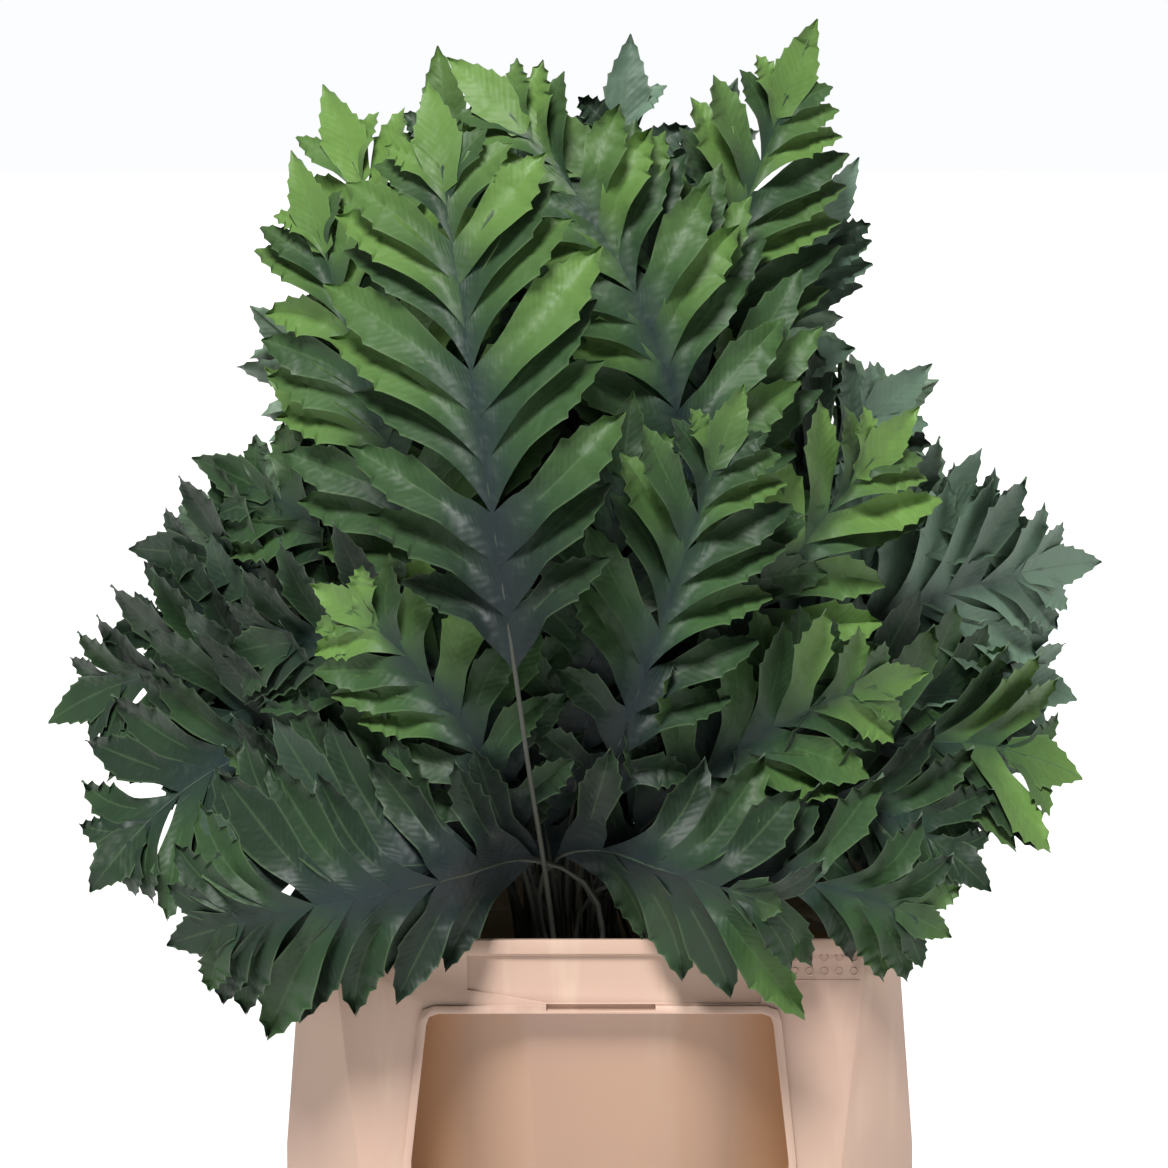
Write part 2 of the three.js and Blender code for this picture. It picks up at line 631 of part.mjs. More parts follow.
// Each frond takes the first of a fixed row of places where it keeps clear of what stands already,
// and none takes a place before the foremost one.
function tried(plan, number, attempt) {
  const sign = attempt % 2 === 1 ? 1 : -1;
  const steps = Math.ceil(attempt / 2) * sign;
  return {
    ...plan,
    number,
    layer: plan.layer + steps * LAYER_STEP,
    halfWidth: plan.halfWidth * (1 - WIDTH_STEP * attempt),
    shift: SHIFT_SPREAD * spread(number + attempt, DRAW.shift),
    curl: CURL.middle + CURL.spread * spread(number, DRAW.curl),
    relief: Math.max(0, 1 - RELIEF_STEP * attempt),
  };
}

function boxesMeet(a, b) {
  return [0, 1, 2].every((axis) => a.min[axis] <= b.max[axis] && b.min[axis] <= a.max[axis]);
}

const bucket = bucketSolid();
const placed = [{ solid: bucket, box: bucket.boundingBox() }];
const fronds = plans.map((plan, number) => {
  for (let attempt = 0; attempt < MOST_TRIES; attempt += 1) {
    const frond = tried(plan, number, attempt);
    if (Math.abs(frond.layer) > FRONT_LAYER) {
      continue;
    }
    const wide = frondMesh(frond, CLEARANCE);
    const wideSolid = solidOf(wide.vertices, wide.triangles);
    const wideBox = wideSolid.boundingBox();
    const clear = placed.every(({ solid, box }) => (
      !boxesMeet(wideBox, box) || wideSolid.intersect(solid).isEmpty()
    ));
    if (clear) {
      const mesh = frondMesh(frond, 0);
      const solid = solidOf(mesh.vertices, mesh.triangles);
      placed.push({ solid, box: solid.boundingBox() });
      return { mesh, frond };
    }
  }
  throw new Error(`frond ${number + 1} found no clear place`);
});

// Water: it fills the foot of the well, with a plain hole for each stem
function waterSolid() {
  const levels = loft([WELL_FLOOR.z + GAP, WATER_TOP].map((z) => chamferedRing(SKIRT_BASE, z)));
  const body = wellBody(-GAP, WELL_FLOOR.z, COLLAR_BOTTOM).intersect(levels);
  const half = STEM_HALF + STEM_HOLE_GAP;
  const holes = fronds.map(({ frond }) => {
    const [across, height] = ribPath(frond).samples[0];
    const [x, y] = sheetPoint(frond, across, height, 0);
    return loft([-BEYOND, WATER_TOP + BEYOND].map((z) => [
      [x - half, y - half, z], [x + half, y - half, z], [x + half, y + half, z], [x - half, y + half, z],
    ]));
  });
  return holes.reduce((left, hole) => left.subtract(hole), body);
}

// Part
const part = new THREE.Group();

function addMesh(name, positions, indices, finish) {
  const geometry = new THREE.BufferGeometry();
  geometry.setAttribute("position", new THREE.Float32BufferAttribute(positions, 3));
  geometry.setIndex(indices);
  geometry.computeVertexNormals();
  const mesh = new THREE.Mesh(geometry, new THREE.MeshStandardMaterial(finish));
  mesh.name = name;
  part.add(mesh);
}

function addSolid(name, solid, finish) {
  const { vertProperties, triVerts } = solid.getMesh();
  addMesh(name, Array.from(vertProperties), Array.from(triVerts), finish);
}

addSolid("bucket", bucket, BUCKET_FINISH);
addSolid("water", waterSolid(), WATER_FINISH);
fronds.forEach(({ mesh }, index) => {
  const name = `frond_${String(index + 1).padStart(2, "0")}`;
  const finish = FROND_FINISHES[index % FROND_FINISHES.length];
  addMesh(name, mesh.vertices.flat(), mesh.triangles.flat(), finish);
});

export default part;
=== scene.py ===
# Cut blue star fern fronds that stand in water in a tall flower bucket. Lengths in the sections on
# the bucket and the fronds are in millimetres and become metres when a mesh is made.
import math

import bmesh
import bpy
import numpy as np
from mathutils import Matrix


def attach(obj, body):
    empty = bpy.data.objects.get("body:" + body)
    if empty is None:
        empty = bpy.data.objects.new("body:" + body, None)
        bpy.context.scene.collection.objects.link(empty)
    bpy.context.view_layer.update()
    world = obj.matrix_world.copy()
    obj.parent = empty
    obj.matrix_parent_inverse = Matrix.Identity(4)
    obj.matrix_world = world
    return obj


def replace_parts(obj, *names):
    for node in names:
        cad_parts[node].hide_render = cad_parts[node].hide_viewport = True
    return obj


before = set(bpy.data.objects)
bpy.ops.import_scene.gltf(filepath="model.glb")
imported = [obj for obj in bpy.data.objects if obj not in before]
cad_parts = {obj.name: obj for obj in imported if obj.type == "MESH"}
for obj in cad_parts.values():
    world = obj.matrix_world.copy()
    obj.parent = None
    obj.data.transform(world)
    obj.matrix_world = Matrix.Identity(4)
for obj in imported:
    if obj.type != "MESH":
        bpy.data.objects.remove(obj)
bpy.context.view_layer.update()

# Camera and light
# The camera stands well back and looks a little down on the bucket's front. One broad soft light from
# high above the front, a little to its left, and the even light of a white studio fall on the fronds
# over a plain pale floor.
VIEW_CENTRE = (-0.008, -0.14, 0.47)
VIEW_DISTANCE = 2.5
VIEW_DOWN = math.radians(6)
VIEW_WIDTH = 0.584
SENSOR_WIDTH = 36

camera_data = bpy.data.cameras.new("camera")
camera_data.sensor_width = SENSOR_WIDTH
camera_data.lens = SENSOR_WIDTH * VIEW_DISTANCE / VIEW_WIDTH
camera = bpy.data.objects.new("camera", camera_data)
camera.location = (
    VIEW_CENTRE[0],
    VIEW_CENTRE[1] - VIEW_DISTANCE * math.cos(VIEW_DOWN),
    VIEW_CENTRE[2] + VIEW_DISTANCE * math.sin(VIEW_DOWN),
)
camera.rotation_euler = (math.pi / 2 - VIEW_DOWN, 0, 0)
bpy.context.scene.collection.objects.link(camera)
bpy.context.scene.camera = camera
bpy.context.scene.view_settings.view_transform = "Standard"

SUN_STRENGTH = 5.1
SUN_SPREAD = math.radians(22)
SUN_TURN = (math.radians(34), 0, math.radians(-16))
STUDIO_WHITE = (0.97, 0.98, 1, 1)
STUDIO_STRENGTH = 0.145
STUDIO_SEEN = 1.0

sun_data = bpy.data.lights.new("key_light", "SUN")
sun_data.energy = SUN_STRENGTH
sun_data.angle = SUN_SPREAD
sun = bpy.data.objects.new("key_light", sun_data)
sun.rotation_euler = SUN_TURN
bpy.context.scene.collection.objects.link(sun)


def put(tree, kind, inputs=None, **settings):
    """Adds one node with its settings, and its inputs as values or as sockets of other nodes."""
    made = tree.nodes.new(kind)
    for name, value in settings.items():
        setattr(made, name, value)
    for name, value in (inputs or {}).items():
        if isinstance(value, bpy.types.NodeSocket):
            tree.links.new(value, made.inputs[name])
        else:
            made.inputs[name].default_value = value
    return made


def new_material(name):
    """A material, its tree and the shader in it."""
    material = bpy.data.materials.new(name)
    material.use_nodes = True
    tree = material.node_tree
    return material, tree, tree.nodes["Principled BSDF"]


def mixed(tree, share, low, high):
    """The colour between two colours, as a socket."""
    return put(tree, "ShaderNodeMix", {0: share, 6: low, 7: high}, data_type="RGBA").outputs[2]


world = bpy.data.worlds.new("studio")
world.use_nodes = True
sky = world.node_tree.nodes["Background"]
sky.inputs["Color"].default_value = STUDIO_WHITE
seen_by_camera = put(world.node_tree, "ShaderNodeLightPath").outputs["Is Camera Ray"]
sky_strength = put(world.node_tree, "ShaderNodeMapRange", {
    "Value": seen_by_camera, "To Min": STUDIO_STRENGTH, "To Max": STUDIO_SEEN,
}).outputs["Result"]
world.node_tree.links.new(sky_strength, sky.inputs["Strength"])
bpy.context.scene.world = world

FLOOR_RADIUS = 30
FLOOR_SIDES = 96
FLOOR_DROP = 0.0005
FLOOR_PALE = (0.9, 0.9, 0.89, 1)
FLOOR_PALER = (0.93, 0.93, 0.92, 1)

floor_material, floor_tree, floor_shader = new_material("floor")
floor_place = put(floor_tree, "ShaderNodeTexCoord")
floor_noise = put(floor_tree, "ShaderNodeTexNoise", {
    "Vector": floor_place.outputs["Object"], "Scale": 3.0,
})
floor_tree.links.new(
    mixed(floor_tree, floor_noise.outputs["Fac"], FLOOR_PALE, FLOOR_PALER),
    floor_shader.inputs["Base Color"],
)
floor_shader.inputs["Roughness"].default_value = 0.9
floor_mesh = bmesh.new()
bmesh.ops.create_circle(floor_mesh, cap_ends=True, segments=FLOOR_SIDES, radius=FLOOR_RADIUS)
floor_data = bpy.data.meshes.new("floor")
floor_mesh.to_mesh(floor_data)
floor_mesh.free()
floor_data.materials.append(floor_material)
floor = bpy.data.objects.new("floor", floor_data)
floor.location = (0, 0, -FLOOR_DROP)
bpy.context.scene.collection.objects.link(floor)

# Bucket
# One injection-moulded box of pinkish beige plastic, a little cloudy and scuffed from being used
# again and again. Its solid has the true form, and here every edge gets the mould's small radius.
MM = 0.001
EDGE_RADIUS = 0.7
EDGE_PARTS = 3
EDGE_ANGLE = math.radians(24)
SHARP_ANGLE = math.radians(35)
FLAT_ANGLE = math.radians(0.4)
WELD = 0.02


def colour(red, green, blue):
    """A linear colour from the 0 to 255 values of a screen."""
    linear = []
    for value in (red, green, blue):
        share = value / 255
        linear.append(share / 12.92 if share <= 0.04045 else ((share + 0.055) / 1.055) ** 2.4)
    return (*linear, 1)


def share_between(tree, value, start, end, low=0.0, high=1.0):
    """A share that goes evenly from low to high as a value goes from start to end."""
    return put(tree, "ShaderNodeMapRange", {
        "Value": value, "From Min": start, "From Max": end, "To Min": low, "To Max": high,
    }).outputs["Result"]


def math_of(tree, operation, *values):
    """The result of one sum on numbers or sockets, as a socket."""
    return put(tree, "ShaderNodeMath", dict(enumerate(values)), operation=operation).outputs[0]


SHELL_BEIGE = colour(187, 158, 140)
SHELL_ROSE = colour(177, 146, 131)
SHELL_SCUFF = colour(199, 174, 154)
# Painted glow and painted shade for the well behind the windows.
SHELL_PAINTED_GLOW = colour(238, 178, 128)
SHELL_PAINTED_SHADE = colour(172, 138, 115)

bucket_material, tree, shader = new_material("bucket_plastic")
place = put(tree, "ShaderNodeTexCoord").outputs["Object"]
cloud = put(tree, "ShaderNodeTexNoise", {"Vector": place, "Scale": 9.0, "Detail": 3.0})
cloud_share = share_between(tree, cloud.outputs["Fac"], 0.35, 0.65)
base = mixed(tree, cloud_share, SHELL_BEIGE, SHELL_ROSE)
stretched = put(tree, "ShaderNodeMapping", {"Vector": place, "Scale": (60, 60, 9)}).outputs["Vector"]
streak = put(tree, "ShaderNodeTexNoise", {"Vector": stretched, "Scale": 1.0, "Detail": 5.0})
streak_share = share_between(tree, streak.outputs["Fac"], 0.56, 0.74, high=0.5)
scuffed = mixed(tree, streak_share, base, SHELL_SCUFF)

# The well behind the windows gets painted shade, and painted warm glow near its sides where light
# comes through the walls. Each band, in metres from the middle or the base, is where a tint starts or
# ends.
WELL_DEPTH = (0.136, 0.132)
WELL_TOP = (0.257, 0.25)
WELL_CORNER = (0.255, 0.25)
SKIRT_SIDE = (0.149, 0.148)
SHADE_FROM = (0.036, 0.042)
SHADE_LEAST = 0.8
GLOW_FROM = (0.066, 0.1)
GLOW_MOST = 0.8

axes = put(tree, "ShaderNodeSeparateXYZ", {"Vector": place})
depth = math_of(tree, "ABSOLUTE", axes.outputs["Y"])
sideways = math_of(tree, "ABSOLUTE", axes.outputs["X"])
in_well = share_between(tree, depth, *WELL_DEPTH)
for other in (
    share_between(tree, axes.outputs["Z"], *WELL_TOP),
    share_between(tree, math_of(tree, "ADD", sideways, depth), *WELL_CORNER),
    share_between(tree, sideways, *SKIRT_SIDE),
):
    in_well = math_of(tree, "MULTIPLY", in_well, other)
beside = share_between(tree, sideways, *SHADE_FROM, low=SHADE_LEAST)
outermost = share_between(tree, sideways, *GLOW_FROM, high=GLOW_MOST)
# Painted shade over the well, a little lighter at its middle, then painted glow near its sides.
shaded = mixed(tree, math_of(tree, "MULTIPLY", in_well, beside), scuffed, SHELL_PAINTED_SHADE)
glowing = mixed(tree, math_of(tree, "MULTIPLY", in_well, outermost), shaded, SHELL_PAINTED_GLOW)
tree.links.new(glowing, shader.inputs["Base Color"])
gloss = share_between(tree, streak.outputs["Fac"], 0, 1, 0.36, 0.56)
tree.links.new(gloss, shader.inputs["Roughness"])
grain = put(tree, "ShaderNodeTexNoise", {"Vector": place, "Scale": 900.0, "Detail": 2.0})
waves = put(tree, "ShaderNodeTexNoise", {"Vector": place, "Scale": 22.0, "Detail": 1.0})
low_bump = put(tree, "ShaderNodeBump", {
    "Height": waves.outputs["Fac"], "Strength": 0.18, "Distance": 0.004,
})
bump = put(tree, "ShaderNodeBump", {
    "Height": grain.outputs["Fac"], "Strength": 0.12, "Distance": 0.0004,
    "Normal": low_bump.outputs["Normal"],
})
tree.links.new(bump.outputs["Normal"], shader.inputs["Normal"])
shader.inputs["IOR"].default_value = 1.49


def evaluated(piece, name):
    """The plain mesh of a piece with its modifiers worked in, as an object of its own."""
    bpy.context.scene.collection.objects.link(piece)
    seen = piece.evaluated_get(bpy.context.evaluated_depsgraph_get())
    mesh = bpy.data.meshes.new_from_object(seen)
    bpy.data.objects.remove(piece)
    mesh.name = name
    made = bpy.data.objects.new(name, mesh)
    bpy.context.scene.collection.objects.link(made)
    return made


shell = bmesh.new()
shell.from_mesh(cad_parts["bucket"].data)
bmesh.ops.remove_doubles(shell, verts=shell.verts, dist=WELD * MM)
bmesh.ops.dissolve_limit(shell, angle_limit=FLAT_ANGLE, verts=shell.verts, edges=shell.edges)
shell_mesh = bpy.data.meshes.new("bucket_plain")
shell.to_mesh(shell_mesh)
shell.free()
shell_mesh.materials.clear()
shell_mesh.materials.append(bucket_material)
rough_shell = bpy.data.objects.new("bucket_plain", shell_mesh)
rounding = rough_shell.modifiers.new("mould radius", "BEVEL")
rounding.width = EDGE_RADIUS * MM
rounding.segments = EDGE_PARTS
rounding.limit_method = "ANGLE"
rounding.angle_limit = EDGE_ANGLE
rounding.harden_normals = True
bucket = evaluated(rough_shell, "bucket_shell")
bucket.data.shade_smooth()
bucket.data.set_sharp_from_angle(angle=SHARP_ANGLE)
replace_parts(bucket, "bucket")
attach(bucket, "root")

# Dots on the rim
# Two short rows of small dimples moulded into the collar at the right of the front, over a thin
# raised line. They are plain marks of the mould, so each is a low ring on the collar's face.
DOT_FIRST_X = 90.5
DOT_SPACING = 7.5
DOT_ROWS = {"count": 6, "heights": (274, 281)}
DOT_RADIUS = 1.8
DOT_RISE = 0.45
DOT_SIDES = {"ring": 14, "bead": 6}
LINE = {"left": 87, "right": 131, "z": 269.5, "half_height": 0.4, "rise": 0.3, "sunk": 1}
LINE_EDGE = {"radius": 0.12, "parts": 2}
COLLAR = {"low_z": 179, "low_y": -150, "high_z": 290, "high_y": -141}


def collar_y(z):
    """How far forward the collar's sloping front face stands at a height."""
    share = (z - COLLAR["low_z"]) / (COLLAR["high_z"] - COLLAR["low_z"])
    return COLLAR["low_y"] + share * (COLLAR["high_y"] - COLLAR["low_y"])


dots = bpy.data.node_groups.new("Dots in a row", "GeometryNodeTree")
DOT_INPUTS = {
    "Count": "Int", "Spacing": "Float", "Ring radius": "Float", "Bead": "Float", "Start": "Vector",
    "Lean": "Vector", "Material": "Material",
}
for label, kind in DOT_INPUTS.items():
    dots.interface.new_socket(label, in_out="INPUT", socket_type=f"NodeSocket{kind}")
dots.interface.new_socket("Geometry", in_out="OUTPUT", socket_type="NodeSocketGeometry")
given = put(dots, "NodeGroupInput")
step = put(dots, "ShaderNodeCombineXYZ", {"X": given.outputs["Spacing"]})
row = put(dots, "GeometryNodeMeshLine", {
    "Count": given.outputs["Count"], "Start Location": given.outputs["Start"],
    "Offset": step.outputs["Vector"],
})
ring = put(dots, "GeometryNodeCurvePrimitiveCircle", {
    "Resolution": DOT_SIDES["ring"], "Radius": given.outputs["Ring radius"],
})
bead = put(dots, "GeometryNodeCurvePrimitiveCircle", {
    "Resolution": DOT_SIDES["bead"], "Radius": given.outputs["Bead"],
})
torus = put(dots, "GeometryNodeCurveToMesh", {
    "Curve": ring.outputs["Curve"], "Profile Curve": bead.outputs["Curve"],
})
on_points = put(dots, "GeometryNodeInstanceOnPoints", {
    "Points": row.outputs["Mesh"], "Instance": torus.outputs["Mesh"],
    "Rotation": given.outputs["Lean"],
})
real = put(dots, "GeometryNodeRealizeInstances", {"Geometry": on_points.outputs["Instances"]})
finished = put(dots, "GeometryNodeSetMaterial", {
    "Geometry": real.outputs["Geometry"], "Material": given.outputs["Material"],
})
put(dots, "NodeGroupOutput", {"Geometry": finished.outputs["Geometry"]})
socket_of = {
    item.name: item.identifier for item in dots.interface.items_tree if item.in_out == "INPUT"
}

lean = math.atan2(COLLAR["high_y"] - COLLAR["low_y"], COLLAR["high_z"] - COLLAR["low_z"])
for number, height in enumerate(DOT_ROWS["heights"]):
    holder = bpy.data.objects.new("dots_plain", bpy.data.meshes.new("dots_plain"))
    rule = holder.modifiers.new("dots in a row", "NODES")
    rule.node_group = dots
    values = {
        "Count": DOT_ROWS["count"],
        "Spacing": DOT_SPACING * MM,
        "Ring radius": DOT_RADIUS * MM,
        "Bead": DOT_RISE * MM,
        "Start": (DOT_FIRST_X * MM, collar_y(height) * MM, height * MM),
        "Lean": (math.pi / 2 - lean, 0, 0),
        "Material": bucket_material,
    }
    for label, value in values.items():
        rule[socket_of[label]] = value
    dot_row = evaluated(holder, f"rim_dots_{number + 1}")
    dot_row.data.shade_smooth()
    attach(dot_row, "root")


def box_mesh(name, low, high):
    """A closed box between two corners in millimetres, with its edges rounded."""
    made = bmesh.new()
    bmesh.ops.create_cube(made, size=1)
    for vertex in made.verts:
        for axis in range(3):
            vertex.co[axis] = (high if vertex.co[axis] > 0 else low)[axis] * MM
    bmesh.ops.bevel(
        made, geom=made.edges[:], offset=LINE_EDGE["radius"] * MM, segments=LINE_EDGE["parts"],
        affect="EDGES",
    )
    mesh = bpy.data.meshes.new(name)
    made.to_mesh(mesh)
    made.free()
    return mesh


line_y = collar_y(LINE["z"])
line_mesh = box_mesh(
    "rim_line",
    (LINE["left"], line_y - LINE["rise"], LINE["z"] - LINE["half_height"]),
    (LINE["right"], line_y + LINE["sunk"], LINE["z"] + LINE["half_height"]),
)
line_mesh.materials.append(bucket_material)
rim_line = bpy.data.objects.new("rim_line", line_mesh)
bpy.context.scene.collection.objects.link(rim_line)
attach(rim_line, "root")

# Water
# Clean water in the foot of the well, faintly green from the cut stems, which stand in it in plain
# holes. Its solid keeps its form.
WATER_CLEAR = (0.86, 0.93, 0.88, 1)
WATER_GREEN = (0.78, 0.88, 0.8, 1)

water_material, tree, shader = new_material("water")
place = put(tree, "ShaderNodeTexCoord").outputs["Object"]
ripple = put(tree, "ShaderNodeTexNoise", {"Vector": place, "Scale": 26.0, "Detail": 2.0})
murk = put(tree, "ShaderNodeTexNoise", {"Vector": place, "Scale": 12.0})
watery = mixed(tree, murk.outputs["Fac"], WATER_CLEAR, WATER_GREEN)
tree.links.new(watery, shader.inputs["Base Color"])
surface = put(tree, "ShaderNodeBump", {
    "Height": ripple.outputs["Fac"], "Strength": 0.3, "Distance": 0.002,
})
tree.links.new(surface.outputs["Normal"], shader.inputs["Normal"])
shader.inputs["Roughness"].default_value = 0.04
shader.inputs["Transmission Weight"].default_value = 0.9
shader.inputs["IOR"].default_value = 1.33
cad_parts["water"].material_slots[0].material = water_material

# Fronds
# Each frond grew as one piece: a thin brown stem that runs on as the blade's rib, waved and toothed
# lobes cut almost to the rib, and a toothed leaf at the tip. They are bright green where young, slate
# blue along the rib and pale below, and lie in layers, each on a curved sheet of its own.
RIM_HEIGHT = 290
NECK_X = -20
NECK_SPREAD = 30
NECK_HEIGHT = 25
FOOT_SPREAD = 58
FOOT_STAGGER = 14
FOOT_Z = 4.3
SPREAD_REACH = 250
BEND_START = -175
RIB_PARTS = 24
LOBE_SPACING = 21.5
LOBE_CROWDING = 0.2
LOBE_ANGLE = {"tip": 44, "opening": 20, "spread": 4}
LOBE_REACH = {"widest_at": 0.4, "foot_loss": 0.25, "tip_loss": 0.7, "taper": 1.9, "spread": 0.12}
MOST_LOBES = 40
TERMINAL = {"share": 0.15, "longest": 44, "half": 13, "half_share": 0.21}
CURL = {"middle": 14, "spread": 16, "full_at": 0.1}
ROLL_FULL_AT = 0.15
SHIFT_SPREAD = 5
LAYER_DEPTH = {"foot": 85, "mouth": 115, "edge": 48, "bulge": 160}
WING = {"curve": 400, "middle": 0.65, "tilt": 0.35, "low": 20, "high": 110}
FOLIAGE = {"x": -8, "height": 155, "reach": 315}
HANG = {"out": 28, "from": 0.8, "full": 0.88, "low": 40, "high": 75, "near": 20, "far": 50}
MOUTH_STRETCH = (BEND_START, -10)
LEAF_STRETCH = (-140, -30)
HANG_STRETCH = (-100, -60)
NECK_STRETCH = (0, 110)
LAYER_STEP = 0.006
RELIEF_STEP = 0.05
WIDTH_STEP = 0.003
GOLDEN = 0.6180339887
DRAW = {
    "fan": 1, "lean": 3, "reach": 5, "lobe": 7, "width": 11, "bow": 13, "roll": 17, "shift": 19,
    "curl": 23, "twist": 13, "arch": 31, "youth_and_shade": 29,
}

# Fronds of the front, foremost first: tip and middle of the rib, each across from the centre line and
# above the rim, then the blade's length, half its width, bow and roll, and how young the frond is.
# The low fronds are set older so that they come out darker, which is painted shade.
FRONT_FRONDS = (
    ((-86, 430), (-58, 255), 290, 67, 6, 0, 0.25),
    ((-217, 0), (-104, 33), 190, 66, -4, 0, -0.3),
    ((90, 25), (26, 42), 114, 62, 10, 0, -0.1),
    ((176, 4), (90, 36), 145, 46, 8, 0, -0.05),
    ((-146, 178), (-74, 120), 168, 50, 14, -0.15, 0.3),
    ((72, 280), (30, 160), 222, 54, 16, 0.15, 0.1),
    ((170, 126), (70, 96), 200, 54, 12, -0.15, 0.2),
    ((-192, 60), (-94, 72), 172, 54, 14, 0.15, -0.3),
    ((200, 18), (106, 68), 192, 54, 4, 0.1, -0.3),
    ((-46, 176), (-34, 98), 150, 44, 6, 0, -0.3),
    ((-196, 132), (-88, 132), 186, 58, 8, 0.1, -0.3),
    ((-78, 442), (44, 232), 356, 64, 0, 0.15, 0.36),
    ((166, 262), (68, 146), 246, 60, 10, -0.15, 0.38),
    ((-264, 12), (-128, 88), 224, 60, 0, 0.15, -0.3),
    ((-160, 394), (-102, 230), 314, 58, -8, 0.15, 0.25),
    ((256, 62), (116, 84), 226, 60, 0, -0.15, 0.12),
    ((24, 190), (2, 104), 162, 46, 4, 0, -0.3),
    ((92, 304), (24, 186), 240, 60, 10, 0.15, 0.3),
    ((-301, 80), (-142, 114), 250, 60, -8, 0.1, -0.2),
    ((-144, 428), (-76, 238), 330, 64, 0, -0.15, 0.5),
    ((114, 462), (42, 266), 350, 60, 10, 0.15, 0.25),
    ((277, 166), (126, 140), 258, 62, -4, -0.1, -1.05),
    ((-216, 231), (-104, 166), 248, 60, 8, 0.15, -0.2),
    ((-14, 236), (-18, 126), 204, 50, 0, 0, -0.2),
    ((16, 454), (2, 248), 346, 64, 0, -0.15, -0.8),
    ((214, 212), (98, 158), 252, 60, 8, 0.15, -0.9),
    ((-254, 178), (-124, 148), 238, 58, 0, -0.1, -0.3),
    ((-176, 280), (-94, 188), 290, 62, 0, 0.15, 0.2),
    ((176, 281), (86, 192), 278, 62, 0, -0.15, -0.85),
    ((-84, 448), (-60, 250), 340, 62, 0, 0.15, 0.1),
    ((136, 390), (60, 234), 320, 54, 12, -0.1, -0.95),
    ((262, 92), (120, 110), 232, 60, 0, 0.15, -0.9),
)

# Two fronds hang over the rim from a neck of their own, and two lie in a layer of their own.
OWN_NECKS = {1: (-26, 36), 2: (-6, 44)}
OWN_LAYERS = {2: 0.885, 3: 0.848}
FRONT_LAYER = 0.985
FRONT_LAYER_STEP = 0.0228
BACK_FRONDS = 12
BACK_LAYER = -0.28
BACK_LAYER_STEP = 0.0635
BACK_FAN = 95
BACK_REACH = {"up": 436, "side": 250}
BACK_MIDDLE = {"across": 0.44, "up": 0.56, "lift": 40}
BACK_LENGTH = {"middle": 0.96, "spread": 0.1}
BACK_BLADE = {"up": 0.78, "side": 0.86}
BACK_HALF_WIDTH = {"middle": 60, "spread": 8}
BACK_BOW = 24
BACK_ROLL = 0.4
BACK_YOUTH = {"middle": -0.15, "spread": 0.9}
SIDE_LAYERS = (0.84, 0.54, 0.26)
SIDE_TIPS = (290, 352, 404)
SIDE_DEPTH = {"foot": 45, "mouth": 24, "reach": 150, "rise": 240}
SIDE_CENTRE = -14
SIDE_MIDDLE = {"across": 0.25, "up": 0.55}
SIDE_BLADE = 0.8
SIDE_HALF_WIDTH = 46
SIDE_LEAN = 24
SIDE_ROLL = 0.2
SIDE_STEP = 5
SIDE_YOUTH = 0.8

# Low fronds reach out over the two sides: tip, middle, blade, half its width and layer.
LOW_FRONDS = (
    ((-232, 62), (-118, 68), 196, 54, 0.2),
    ((224, 54), (104, 64), 190, 54, 0.08),
    ((-226, 118), (-108, 96), 200, 54, -0.08),
    ((220, 112), (100, 92), 196, 54, -0.2),
)
LOW_ROLL = 0.1


def blend(low, high, share):
    """The value a share of the way from low to high."""
    return low + (high - low) * share


def smooth(low, high, value):
    """A share that rises smoothly from 0 to 1 as a value goes from low to high."""
    share = np.clip((value - low) / (high - low), 0, 1)
    return share * share * (3 - 2 * share)


def spread(number, step):
    """An even draw between -0.5 and 0.5 that follows from the frond's number and a step."""
    value = (number + 1) * step * GOLDEN
    return value - math.floor(value) - 0.5


def back_frond(index):
    """The plan of a frond in the fan at the back."""
    turn = spread(index, DRAW["fan"]) * 2 * math.radians(BACK_FAN)
    reach = 1 / math.hypot(math.cos(turn) / BACK_REACH["up"], math.sin(turn) / BACK_REACH["side"])
    length = reach * (BACK_LENGTH["middle"] + BACK_LENGTH["spread"] * spread(index, DRAW["reach"]))
    tip_x = NECK_X / 2 + length * math.sin(turn)
    tip_height = NECK_HEIGHT + length * math.cos(turn)
    side = abs(math.sin(turn))
    middle_height = blend(NECK_HEIGHT, tip_height, BACK_MIDDLE["up"])
    half_width = BACK_HALF_WIDTH["middle"] + BACK_HALF_WIDTH["spread"] * spread(index, DRAW["width"])
    return {
        "tip": (tip_x, tip_height),
        "middle": (
            blend(NECK_X, tip_x, BACK_MIDDLE["across"]),
            middle_height + BACK_MIDDLE["lift"] * side * side,
        ),
        "blade": length * blend(BACK_BLADE["up"], BACK_BLADE["side"], side),
        "half_width": half_width,
        "bow": BACK_BOW * spread(index, DRAW["bow"]),
        "roll": BACK_ROLL * spread(index, DRAW["roll"]),
        "layer": BACK_LAYER - BACK_LAYER_STEP * index,
        "facing": 0,
        "youth_and_shade": BACK_YOUTH["spread"] * spread(index, DRAW["youth_and_shade"]) + BACK_YOUTH["middle"],
    }


def side_frond(index, facing):
    """The plan of a frond that faces the side to the left, -1, or to the right, 1."""
    tip_height = SIDE_TIPS[index]
    lean = SIDE_LEAN * spread(index + SIDE_STEP * facing, DRAW["lean"])
    return {
        "tip": (lean, tip_height),
        "middle": (lean * SIDE_MIDDLE["across"], tip_height * SIDE_MIDDLE["up"]),
        "blade": tip_height * SIDE_BLADE,
        "half_width": SIDE_HALF_WIDTH,
        "bow": 0,
        "roll": SIDE_ROLL * spread(index, DRAW["roll"]),
        "layer": SIDE_LAYERS[index],
        "facing": facing,
        "youth_and_shade": SIDE_YOUTH * spread(index * 2 + facing, DRAW["youth_and_shade"]),
    }


